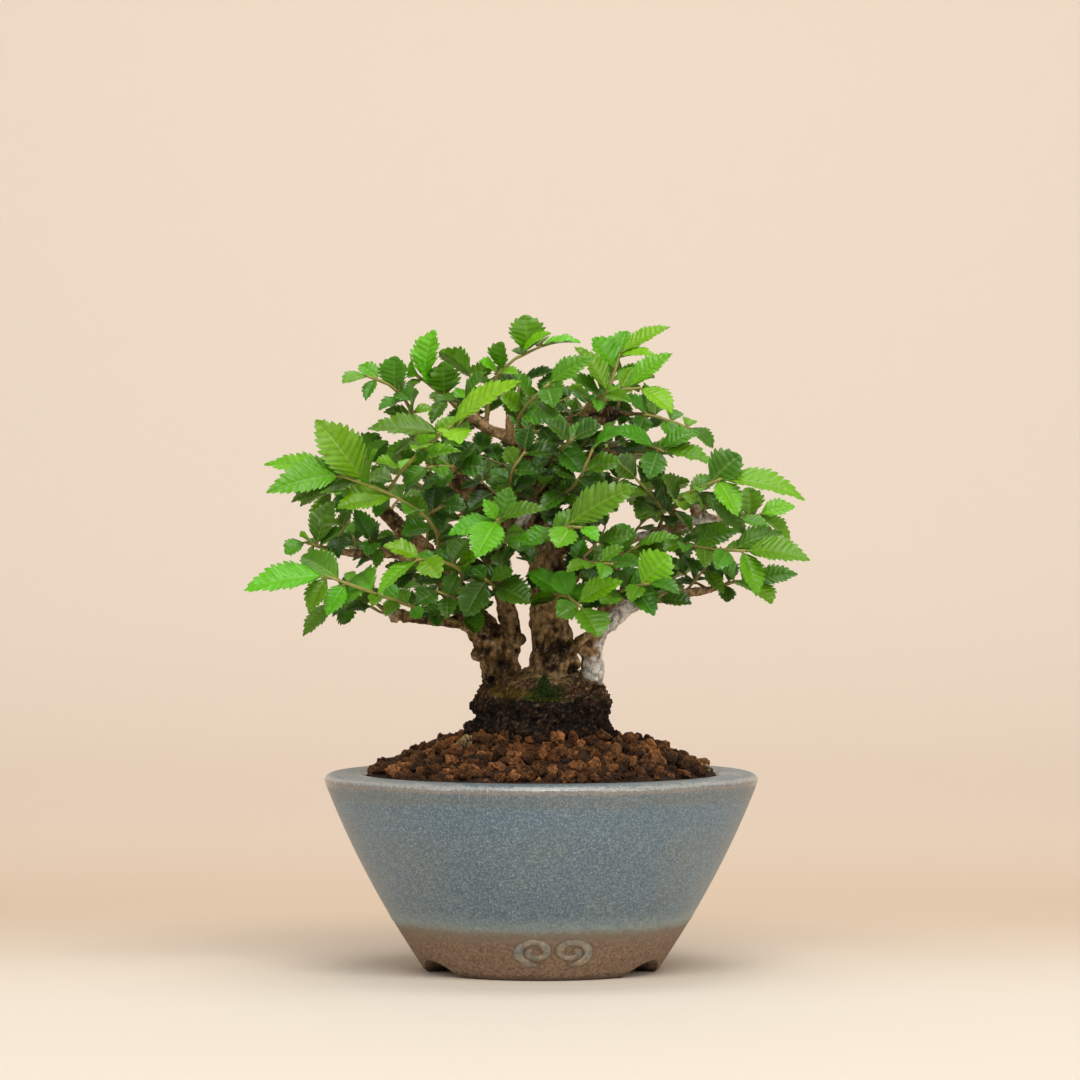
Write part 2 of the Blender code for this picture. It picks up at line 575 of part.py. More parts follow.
def bmesh_from(vertices, faces):
    """A bmesh in metres from millimetres, with its faces pointing out."""
    bm = bmesh.new()
    made = [bm.verts.new(Vector(v) * MM) for v in vertices]
    for face in faces:
        bm.faces.new([made[i] for i in face])
    bmesh.ops.recalc_face_normals(bm, faces=bm.faces)
    return bm


def object_from(bm, name, collection=None):
    mesh = bpy.data.meshes.new(name)
    bmesh.ops.triangulate(bm, faces=bm.faces)
    bm.to_mesh(mesh)
    bm.free()
    item = bpy.data.objects.new(name, mesh)
    (collection or bpy.context.scene.collection).objects.link(item)
    return item


def lathe(profile, sides, closed):
    """A turned body from (radius, height) points, by a spin about the Z axis."""
    bm = bmesh.new()
    ring = [bm.verts.new((radius * MM, 0, height * MM)) for radius, height in profile]
    edges = [bm.edges.new(pair) for pair in zip(ring, ring[1:])]
    if closed:
        edges.append(bm.edges.new((ring[-1], ring[0])))
    bmesh.ops.spin(bm, geom=ring + edges, cent=(0, 0, 0), axis=(0, 0, 1), angle=2 * math.pi, steps=sides,
                   use_merge=True)
    bmesh.ops.remove_doubles(bm, verts=bm.verts, dist=1e-6)
    bmesh.ops.recalc_face_normals(bm, faces=bm.faces)
    return bm


def largest_body(bm):
    """Deletes the scraps and inner shells that a union leaves."""
    seen = set()
    bodies = []
    for seed in bm.verts:
        if seed in seen:
            continue
        stack = [seed]
        seen.add(seed)
        body = []
        while stack:
            vertex = stack.pop()
            body.append(vertex)
            for edge in vertex.link_edges:
                other = edge.other_vert(vertex)
                if other not in seen:
                    seen.add(other)
                    stack.append(other)
        bodies.append(body)
    bodies.sort(key=len, reverse=True)
    for body in bodies[1:]:
        bmesh.ops.delete(bm, geom=body, context="VERTS")


def fuse(name, bodies, operation="UNION", solver="EXACT"):
    """One object from the first body and the rest, by one Boolean on a collection, applied."""
    extra = bpy.data.collections.new(name + "_parts")
    bpy.context.scene.collection.children.link(extra)
    main = object_from(bodies[0], name + "_main")
    for k, body in enumerate(bodies[1:]):
        object_from(body, f"{name}_{k}", extra)
    boolean = main.modifiers.new("fuse", "BOOLEAN")
    boolean.operation = operation
    boolean.operand_type = "COLLECTION"
    boolean.collection = extra
    boolean.solver = solver
    view = bpy.context.evaluated_depsgraph_get()
    mesh = bpy.data.meshes.new_from_object(main.evaluated_get(view))
    for item in [main] + list(extra.objects):
        bpy.data.objects.remove(item, do_unlink=True)
    bpy.data.collections.remove(extra)
    bm = bmesh.new()
    bm.from_mesh(mesh)
    bpy.data.meshes.remove(mesh)
    bmesh.ops.triangulate(bm, faces=bm.faces)
    largest_body(bm)
    return object_from(bm, name)


# Pot

def outer_radius(height):
    share = height / RIM_HEIGHT
    return FOOT_RADIUS + (RIM_RADIUS - FOOT_RADIUS) * share + 4 * BELLY * share * (1 - share)


def inner_radius(height):
    return outer_radius(height) - WALL


def pot_profile():
    outer = [(outer_radius(z), z) for z in (0, 10, 22, 35, RIM_HEIGHT)]
    lip = [
        (RIM_RADIUS - 0.2, LIP_TOP - 0.7), (RIM_RADIUS - 1.4, LIP_TOP), (LIP_INNER_RADIUS + 1.2, LIP_TOP),
        (LIP_INNER_RADIUS, LIP_TOP - 0.9), (LIP_INNER_RADIUS + 0.3, LIP_TOP - 2.7), (inner_radius(43.5), 43.5),
    ]
    inner = [(inner_radius(z), z) for z in (30, 16, FLOOR_TOP)]
    under = [
        (DRAIN_RADIUS, FLOOR_TOP), (DRAIN_RADIUS, RECESS_TOP), (outer_radius(0) - FOOT_RING - 0.8, RECESS_TOP),
        (outer_radius(0) - FOOT_RING, 0),
    ]
    return outer + lip + inner + under


def notch_cutter(bearing):
    """A round bar under the foot, whose top rises into it as an arch."""
    radius = (NOTCH_HALF_WIDTH ** 2 + NOTCH_HEIGHT ** 2) / (2 * NOTCH_HEIGHT)
    drop = NOTCH_HEIGHT - radius
    out = Vector((math.cos(math.radians(bearing)), math.sin(math.radians(bearing)), 0))
    across = out.cross(Vector((0, 0, 1)))
    half = math.asin(NOTCH_HALF_WIDTH * 1.15 / radius)
    outline = []
    for k in range(NOTCH_STEPS + 1):
        angle = half * (2 * k / NOTCH_STEPS - 1)
        outline.append((radius * math.sin(angle), drop + radius * math.cos(angle)))
    outline += [(outline[-1][0], -NOTCH_HEIGHT), (outline[0][0], -NOTCH_HEIGHT)]
    near, far = NOTCH_REACH
    vertices = [out * near + across * u + Vector((0, 0, v)) for u, v in outline]
    vertices += [out * far + across * u + Vector((0, 0, v)) for u, v in outline]
    count = len(outline)
    faces = [tuple(range(count)), tuple(reversed(range(count, 2 * count)))]
    faces += [(k, (k + 1) % count, count + (k + 1) % count, count + k) for k in range(count)]
    return bmesh_from(vertices, faces)


def scroll_body(mirror):
    """A flat oval spiral band on the foot's curved front, sunk into it and a little proud of it."""
    vertices = []
    for k in range(SCROLL_STEPS + 1):
        share = k / SCROLL_STEPS
        angle = math.radians(SCROLL_START) - share * SCROLL_TURNS * 2 * math.pi
        radius = SCROLL_OUTER + (SCROLL_INNER - SCROLL_OUTER) * share
        for edge in (-SCROLL_BAND / 2, SCROLL_BAND / 2):
            reach = (radius + edge) * math.cos(angle) * SCROLL_WIDEN
            u = SCROLL_MID_X + mirror * (SCROLL_SPACING / 2 - reach)
            z = SCROLL_HEIGHT + (radius + edge) * math.sin(angle)
            surface = math.sqrt(outer_radius(z) ** 2 - u * u)
            vertices.append(Vector((u, -surface - SCROLL_RELIEF, z)))
            vertices.append(Vector((u, -surface + SCROLL_SINK, z)))
    faces = [(0, 1, 3, 2)]
    for k in range(SCROLL_STEPS):
        a = 4 * k
        for i, j in ((0, 2), (2, 3), (3, 1), (1, 0)):
            faces.append((a + i, a + j, a + 4 + j, a + 4 + i))
    a = 4 * SCROLL_STEPS
    faces.append((a + 2, a + 3, a + 1, a))
    return bmesh_from(vertices, faces)


def make_pot():
    body = lathe(pot_profile(), POT_SIDES, True)
    half_step = Matrix.Rotation(math.pi / POT_SIDES, 3, "Z")
    bmesh.ops.rotate(body, verts=body.verts, cent=(0, 0, 0), matrix=half_step)
    cut = fuse("pot_cut", [body] + [notch_cutter(b) for b in NOTCH_BEARINGS], "DIFFERENCE")
    bm = bmesh.new()
    bm.from_mesh(cut.data)
    bpy.data.objects.remove(cut, do_unlink=True)
    return fuse("pot", [bm, scroll_body(-1), scroll_body(1)])


# Inside the pot

def make_drain_net():
    """A round net over the drain hole, with the two holes that its wire passes through."""
    low = FLOOR_TOP + GAP
    disc = lathe([(0, low), (NET_RADIUS, low), (NET_RADIUS, low + NET_THICK), (0, low + NET_THICK)],
                 NET_SIDES, False)
    holes = []
    for x in (-WIRE_HALF_WIDTH, WIRE_HALF_WIDTH):
        points = [Vector((x, 0, low - 1)), Vector((x, 0, low + NET_THICK + 1))]
        holes.append(bmesh_from(*tube_mesh(points, [WIRE_HOLE_RADIUS] * 2, WIRE_HOLE_SIDES)))
    return fuse("drain_net", [disc] + holes, "DIFFERENCE")


def make_net_wire():
    """A wire staple: over the net, down through the drain hole, and bent out under the pot's floor."""
    top = FLOOR_TOP + GAP + NET_THICK + GAP + WIRE_RADIUS
    low = RECESS_TOP - GAP - WIRE_RADIUS
    half = [(WIRE_FOOT, low), (WIRE_HALF_WIDTH + 1.0, low), (WIRE_HALF_WIDTH + 0.3, low + 0.3),
            (WIRE_HALF_WIDTH, low + 1.0), (WIRE_HALF_WIDTH, top - 0.9), (WIRE_HALF_WIDTH - 0.9, top)]
    points = [Vector((x, 0, z)) for x, z in half] + [Vector((-x, 0, z)) for x, z in reversed(half)]
    return object_from(bmesh_from(*tube_mesh(points, [WIRE_RADIUS] * len(points), WIRE_SIDES)), "net_wire")


def make_gravel():
    """The coarse drainage layer on the floor, hollowed under where it lies over the net and its wire."""
    low = FLOOR_TOP + GAP
    over_net = low + NET_THICK + 2 * WIRE_RADIUS + 2 * GAP
    profile = [
        (0, over_net), (GRAVEL_RECESS, over_net), (GRAVEL_RECESS, low), (inner_radius(low) - 2 * GAP, low),
        (inner_radius(GRAVEL_TOP) - GAP, GRAVEL_TOP - 0.15), (0, GRAVEL_TOP - 0.15),
    ]
    return object_from(lathe(profile, GRAVEL_SIDES, False), "drainage_gravel")


def mound_height(x, y):
    """The soil's height under its granules: a low mound round the root base, down to the lip."""
    u = (x - BASE_X) / BASE_HALF_X
    v = y / BASE_HALF_Y
    beside = max(math.hypot(u, v) - 1, 0)
    radius = math.hypot(x, y)
    edge = LIP_INNER_RADIUS - GAP
    near = beside * (BASE_HALF_X + BASE_HALF_Y) / 2
    share = near / max(near + edge - radius, 0.01)
    return SOIL_PEAK + (SOIL_EDGE - SOIL_PEAK) * min(max(share, 0), 1) ** 1.05


def make_soil():
    """The soil with its relief of granules, the pocket for the root base, and sides that follow the pot."""
    rng = random.Random(SEED)
    edge = LIP_INNER_RADIUS - 1.5 * GAP
    ring = [2 * math.pi * (k + 0.5) / POT_SIDES for k in range(POT_SIDES)]
    rim = [(edge * math.cos(a), edge * math.sin(a)) for a in ring]
    turn = [2 * math.pi * k / BASE_SIDES for k in range(BASE_SIDES)]
    pocket_x = BASE_HALF_X + 1.2 * GAP
    pocket_y = BASE_HALF_Y + 1.2 * GAP
    pocket = [(BASE_X + pocket_x * math.cos(a), pocket_y * math.sin(a)) for a in turn]
    flat = rim + pocket
    heights = [SOIL_EDGE] * len(rim) + [SOIL_PEAK] * len(pocket)
    fine = GRAIN_PITCH / math.sqrt(3)
    rows = int(2 * edge / (fine * math.sqrt(3) / 2)) + 2
    for row in range(-rows // 2, rows // 2 + 1):
        for column in range(-rows // 2, rows // 2 + 1):
            x = (column + 0.5 * (row % 2)) * fine + rng.uniform(-0.7, 0.7)
            y = row * fine * math.sqrt(3) / 2 + rng.uniform(-0.7, 0.7)
            rise = rng.uniform(-0.5, 0.7)
            u = (x - BASE_X) / (pocket_x + 1.3)
            v = y / (pocket_y + 1.3)
            if math.hypot(x, y) > edge - 1.3 or math.hypot(u, v) < 1:
                continue
            shifted = column + (0 if row % 2 == 0 else 2)
            grain = (shifted % 3) == 0
            flat.append((x, y))
            heights.append(mound_height(x, y) + (GRAIN_RISE + rise if grain else -GRAIN_RISE * 0.6 + rise * 0.3))
    loops = [[k, (k + 1) % len(rim)] for k in range(len(rim))]
    first = len(rim)
    loops += [[first + k, first + (k + 1) % len(pocket)] for k in range(len(pocket))]
    points, _, triangles, origin, _, _ = delaunay_2d_cdt([Vector(p) for p in flat], loops, [], 0, 1e-6)
    vertices = [Vector((p.x, p.y, heights[origin[i][0]])) for i, p in enumerate(points)]
    where = {origin[i][0]: i for i in range(len(points))}
    faces = []
    for triangle in triangles:
        middle = sum((points[i] for i in triangle), Vector((0, 0))) / 3
        u = (middle.x - BASE_X) / pocket_x
        v = middle.y / pocket_y
        if math.hypot(u, v) > 0.99:
            faces.append(tuple(triangle))
    above = [where[k] for k in range(len(rim))]
    wall = [(edge, LIP_TOP - 3.4), (inner_radius(43.2) - 1.2 * GAP, 43.0), (inner_radius(30) - GAP, 30.0),
            (inner_radius(GRAVEL_TOP + 0.15) - GAP, GRAVEL_TOP + 0.15)]
    for radius, height in wall:
        below = []
        for angle in ring:
            below.append(len(vertices))
            vertices.append(Vector((radius * math.cos(angle), radius * math.sin(angle), height)))
        for k in range(len(ring)):
            n = (k + 1) % len(ring)
            faces.append((above[k], above[n], below[n], below[k]))
        above = below
    faces.append(tuple(above))
    mouth = [where[first + k] for k in range(len(pocket))]
    floor = []
    for x, y in pocket:
        floor.append(len(vertices))
        vertices.append(Vector((x, y, BASE_BOTTOM - GAP)))
    for k in range(len(pocket)):
        n = (k + 1) % len(pocket)
        faces.append((mouth[k], mouth[n], floor[n], floor[k]))
    faces.append(tuple(floor))
    return object_from(bmesh_from(vertices, faces), "soil")


# Wood

def root_base():
    """The root base: a plain plug in the soil, and above it a burred lump that the trunks stand on."""
    rng = random.Random(SEED + 1)
    vertices = []
    for height, share, noise in BASE_ROWS:
        for k in range(BASE_SIDES):
            angle = 2 * math.pi * k / BASE_SIDES
            size = share * (1 + rng.uniform(-noise, noise))
            lift = rng.uniform(-BASE_LIFT, BASE_LIFT) * noise
            vertices.append(Vector((BASE_X + BASE_HALF_X * size * math.cos(angle),
                                    BASE_HALF_Y * size * math.sin(angle), height + lift)))
    faces = [tuple(range(BASE_SIDES)), tuple(len(vertices) - BASE_SIDES + k for k in range(BASE_SIDES))]
    for row in range(len(BASE_ROWS) - 1):
        for k in range(BASE_SIDES):
            a = row * BASE_SIDES + k
            b = row * BASE_SIDES + (k + 1) % BASE_SIDES
            faces.append((a, b, b + BASE_SIDES, a + BASE_SIDES))
    return bmesh_from(vertices, faces)


def limb_body(points, radii, rng):
    """A limb with uneven bark; its last ring stays plain."""
    widest = max(radii)
    sides = next(count for limit, count in LIMB_SIDES if widest > limit)
    vertices, faces = tube_mesh(points, radii, sides, rng.uniform(0, 1))
    for ring, centre in enumerate(points[:-1]):
        for k in range(sides):
            i = ring * sides + k
            vertices[i] = centre + (vertices[i] - centre) * rng.uniform(*BARK_UNEVEN)
    return bmesh_from(vertices, faces)


def knob_body(place, reach, radius, rng):
    """A burr or a cut stub: a short barrel standing out of the bark."""
    start = Vector(place)
    out = Vector(reach)
    points = [start + out * share for share, _ in KNOB_ROWS]
    radii = [radius * size for _, size in KNOB_ROWS]
    return bmesh_from(*tube_mesh(points, radii, KNOB_SIDES, rng.uniform(0, 1)))


def make_wood(shoots):
    rng = random.Random(SEED + 2)
    stubs = [shoot.stub for shoot in shoots.values()]
    bodies = [root_base()]
    for limb in LIMBS.values():
        points, radii = limb_parts(limb)
        for base, end in [stub for stub in stubs if (stub[0] - points[-1]).length < 0.01]:
            stubs.remove((base, end))
            points.append(end)
            radii.append(STUB_RADIUS * 0.9)
        bodies.append(limb_body(points, radii, rng))
    bodies += [knob_body(*knob, rng) for knob in KNOBS]
    for base, end in stubs:
        bodies.append(bmesh_from(*tube_mesh([base, end], [STUB_RADIUS, STUB_RADIUS * 0.9], 3, rng.uniform(0, 1))))
    return fuse("trunk_and_branches", bodies)


# Shoots

def blade_body(leaf):
    """A toothed blade, folded along its rib, with a petiole sunk in the stem."""
    teeth = next(count for limit, count in TEETH if leaf.length > limit)
    outline = []
    for k in range(1, teeth + 1):
        share = PETIOLE + (1 - PETIOLE) * k / (teeth + TOOTH_STEP)
        across = blade_profile(share)
        outline.append((share, across))
        if k < teeth:
            outline.append((share + TOOTH_CUT[0], across * TOOTH_CUT[1]))
    ribs = LARGE_RIBS if leaf.length > SMALL_LEAF else SMALL_RIBS
    vertices = [leaf.point(0, 0), leaf.point(1, 0)]
    rib_rows = []
    for lift in (BLADE_THICK / 2, -BLADE_THICK / 2):
        rib_rows.append([])
        for share in ribs:
            rib_rows[-1].append((share, len(vertices)))
            vertices.append(leaf.point(share, 0, lift))
    faces = []
    for sign in (1, -1):
        edge = [(0.0, 0)]
        for share, across in outline:
            edge.append((share, len(vertices)))
            vertices.append(leaf.point(share, sign * across))
        edge.append((1.0, 1))
        for rib_row in rib_rows:
            rib = [(0.0, 0)] + rib_row + [(1.0, 1)]
            i = j = 0
            while i < len(edge) - 2 or j < len(rib) - 2:
                if j >= len(rib) - 2 or (i < len(edge) - 2 and edge[i + 1][0] <= rib[j + 1][0]):
                    faces.append((edge[i][1], edge[i + 1][1], rib[j][1]))
                    i += 1
                else:
                    faces.append((edge[i][1], rib[j + 1][1], rib[j][1]))
                    j += 1
            faces.append((edge[i][1], 1, rib[j][1]))
    faces = [face for face in faces if len(set(face)) == 3]
    return bmesh_from(vertices, faces)


def make_spray(name, shoot):
    points, radii = shoot.stem_points()
    bodies = [bmesh_from(*tube_mesh(points, radii, STEM_SIDES))]
    bodies += [blade_body(leaf) for leaf in shoot.leaves]
    return fuse("shoot_" + name, bodies)


def main():
    clear_scene()
    shoots = grow()
    holder = bpy.data.objects.new("bonsai", None)
    bpy.context.scene.collection.objects.link(holder)
    holder.location = (POT_AXIS_X * MM, 0, 0)
    glaze = make_material("blue_grey_glaze", (0.16, 0.23, 0.27), 0.3)
    granules = make_material("fired_clay_granules", (0.19, 0.085, 0.04), 0.9)
    bark = make_material("bark", (0.16, 0.1, 0.065), 0.85)
    pieces = [
        (make_pot(), glaze),
        (make_drain_net(), make_material("net_plastic", (0.03, 0.03, 0.03), 0.5)),
        (make_net_wire(), make_material("wire_aluminium", (0.35, 0.22, 0.13), 0.4, 1.0)),
        (make_gravel(), make_material("pumice_gravel", (0.5, 0.45, 0.35), 0.9)),
        (make_soil(), granules),
        (make_wood(shoots), bark),
    ]
    for name, shoot in shoots.items():
        pieces.append((make_spray(name, shoot), make_material("leaf_" + name, LEAF_GREEN, 0.45)))
    for item, material in pieces:
        item.data.materials.append(material)
        item.parent = holder


main()
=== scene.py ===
"""Looks for the mini elm bonsai: fine leaves, bark, moss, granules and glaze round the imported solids.

Lengths are millimetres from the pot's axis at the table until a mesh is made, which is in metres.
"""
import json
import math
import random

import bmesh
import bpy
import numpy as np
from mathutils import Euler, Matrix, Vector, noise
from mathutils.bvhtree import BVHTree

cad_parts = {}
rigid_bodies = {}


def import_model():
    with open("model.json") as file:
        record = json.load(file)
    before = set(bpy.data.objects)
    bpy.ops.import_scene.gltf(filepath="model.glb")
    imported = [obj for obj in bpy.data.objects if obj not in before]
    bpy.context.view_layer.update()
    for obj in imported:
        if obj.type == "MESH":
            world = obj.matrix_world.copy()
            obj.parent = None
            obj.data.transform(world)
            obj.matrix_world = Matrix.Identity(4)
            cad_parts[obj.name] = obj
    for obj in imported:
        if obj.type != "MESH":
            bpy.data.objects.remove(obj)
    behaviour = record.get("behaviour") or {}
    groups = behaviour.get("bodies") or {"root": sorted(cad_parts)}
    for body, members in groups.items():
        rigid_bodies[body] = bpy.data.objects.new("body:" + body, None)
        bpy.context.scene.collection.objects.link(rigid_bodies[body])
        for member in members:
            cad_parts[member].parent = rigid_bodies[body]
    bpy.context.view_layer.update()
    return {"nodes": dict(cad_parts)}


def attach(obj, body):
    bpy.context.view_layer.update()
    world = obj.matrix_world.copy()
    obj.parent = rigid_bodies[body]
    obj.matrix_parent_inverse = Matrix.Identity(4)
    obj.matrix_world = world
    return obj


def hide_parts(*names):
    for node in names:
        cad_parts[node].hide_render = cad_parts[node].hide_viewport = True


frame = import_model()

MM = 0.001
GAP = 0.3
POT_AXIS_X = 3.5

# Pot
FOOT_RADIUS = 29.7
RIM_RADIUS = 55.2
RIM_HEIGHT = 48.3
LIP_TOP = 50.3
LIP_INNER_RADIUS = 45.0
BELLY = 1.8
WALL = 4.2
FLOOR_TOP = 7.5
RECESS_TOP = 4.2
FOOT_RING = 5.0
DRAIN_RADIUS = 6.0
NOTCH_HALF_WIDTH = 8.7
NOTCH_HEIGHT = 3.9
NOTCH_BEARINGS = (90, 210, 330)
NOTCH_REACH = (15, 45)

# Scrolls raised on the front foot
SCROLL_MID_X = 3.0
SCROLL_SPACING = 9.1
SCROLL_HEIGHT = 7.7
SCROLL_TURNS = 1.5
SCROLL_OUTER = 3.5
SCROLL_INNER = 0.8
SCROLL_WIDEN = 1.4
SCROLL_BAND = 1.0
SCROLL_RELIEF = 0.45
SCROLL_START = -75

# Inside the pot
SOIL_PEAK = 59.3
SOIL_EDGE = 50.0
MOUND_CURVE = 1.05

# Root base
BASE_X = 0.6
BASE_HALF_X = 17.6
BASE_HALF_Y = 14.6
BASE_SIDES = 16
BASE_BOTTOM = 40.0
BASE_PLAIN_TOP = 61.0
BASE_LIFT = 8.0
# The root base's rows: height, share of the half widths, and how uneven
BASE_ROWS = [
    (BASE_BOTTOM, 1.0, 0.0), (BASE_PLAIN_TOP, 1.0, 0.0), (64.3, 0.98, 0.05), (67.8, 1.04, 0.05),
    (71.0, 0.93, 0.06), (73.8, 0.84, 0.05), (75.4, 0.5, 0.05),
]

# Wood: the centre line of each limb as (x, y, z, radius)
LIMBS = {
    "left_trunk": [
        (-9, 0, 66, 6.5), (-10, -1, 75, 5.2), (-12, -2, 82, 4.6), (-16, -3, 88, 3.9), (-21, -5, 95, 3.3),
        (-26, -6, 102, 3.0), (-33, -7, 110, 2.6), (-39, -8, 116, 2.0), (-43, -9, 121, 1.2),
    ],
    "left_inner": [
        (-10, -1, 77, 3.6), (-8, 1, 84, 2.8), (-9, 3, 93, 2.4), (-11, 5, 99, 2.1), (-13, 9, 105, 1.9),
        (-16, 14, 112, 1.5), (-21, 20, 118, 1.1),
    ],
    "mid_trunk": [
        (3, 0, 66, 7.8), (3, -1, 74, 6.3), (3, -1, 82, 5.5), (2, 0, 90, 5.0), (2, 1, 98, 4.7),
        (1, 1, 106, 4.4), (0, 2, 113, 4.0), (0, 2, 121, 3.6), (0, 2, 129, 3.2), (2, 1, 135, 2.8),
        (8, 0, 139, 2.6), (14, 0, 141, 3.0), (19, 1, 142, 1.6),
    ],
    "mid_left": [
        (-1, 1, 108, 3.2), (-8, 0, 116, 3.3), (-16, -2, 121, 3.0), (-22, -3, 125, 2.2), (-27, -3, 129, 1.6),
        (-31, -3, 134, 1.1),
    ],
    "right_trunk": [
        (12, 0, 66, 4.6), (13, -1, 74, 3.1), (13, -1, 81, 2.7), (15, -2, 86, 2.5), (19, -2, 90, 2.3),
        (23, -2, 93, 2.1),
    ],
    "right_upper": [
        (16, -2, 87, 2.1), (16, 0, 93, 1.8), (18, 2, 99, 1.6), (19, 4, 105, 1.4), (22, 6, 109, 1.3),
        (28, 6, 111, 1.3), (35, 4, 113, 1.4), (41, 2, 115, 1.4), (45, 1, 115, 0.9),
    ],
    "right_low": [
        (17, 0, 94, 1.6), (23, -3, 96, 1.6), (29, -5, 95, 1.7), (36, -6, 96, 1.3), (43, -7, 97, 1.0),
    ],
    "link": [(7, -4, 78, 2.6), (8, -6, 82, 1.4), (11, -5, 85, 1.1), (15, -2, 86, 1.0)],
    "left_low": [
        (-13, -3, 83, 2.4), (-19, -5, 88, 1.8), (-26, -7, 89, 1.4), (-33, -8, 90, 1.4), (-38, -9, 91, 2.0),
    ],
    "left_mid": [(-28, -7, 104, 1.8), (-37, -6, 106, 1.5), (-46, -5, 106, 1.2), (-53, -4, 107, 0.9)],
    "upper_left": [(1, 2, 128, 2.2), (-7, 3, 135, 1.8), (-14, 4, 138, 1.4), (-20, 3, 142, 1.0)],
    "crown_stub": [(-8, 3, 135, 1.5), (-8, 1, 140, 1.3), (-7, 0, 144, 1.1)],
    "right_knob": [(1, 3, 125, 2.2), (10, 5, 130, 1.6), (18, 3, 132, 1.4), (25, 0, 133, 1.1)],
    "pale_stub": [(-7, -1, 108, 1.8), (-5, -8, 114, 1.7), (-2, -9, 120, 1.5)],
    "back_right": [(1, 4, 112, 2.2), (9, 22, 117, 1.6), (19, 36, 120, 1.0)],
    "back_left": [(0, 4, 118, 2.2), (-9, 24, 124, 1.6), (-19, 38, 128, 1.0)],
    "back_top": [(2, 2, 132, 2.0), (4, 20, 138, 1.5), (9, 32, 142, 1.0)],
    "back_mid": [(1, 3, 104, 2.0), (-5, 24, 109, 1.5), (-8, 38, 112, 1.0)],
    "front_low": [(2, -2, 97, 1.8), (5, -18, 101, 1.3), (10, -28, 105, 0.9)],
}
# Burrs and cut stubs: where they sit, which way they stand out, how far and how thick
KNOBS = [
    ((-12, -3, 80), (-5, -1.5, 0.5), 2.0), ((-8, 0, 84), (3.6, -1.5, 0.4), 1.8),
    ((4, -2, 78), (4.5, -3.5, 0.5), 2.6), ((13, -1, 81), (-3.2, -2, 0.5), 1.7),
    ((-12, 7, 104), (2, -3, 3.5), 2.6), ((1, 1, 107), (6.6, -1, 1), 2.0),
    ((22, -2, 92), (2.6, -0.5, 1.5), 2.3), ((40, 2, 115), (-1, -1.5, 3), 1.7),
    ((11, 0, 140), (1, -3.2, -1), 2.4), ((-36, -9, 91), (-2, -1, -1), 2.2),
]

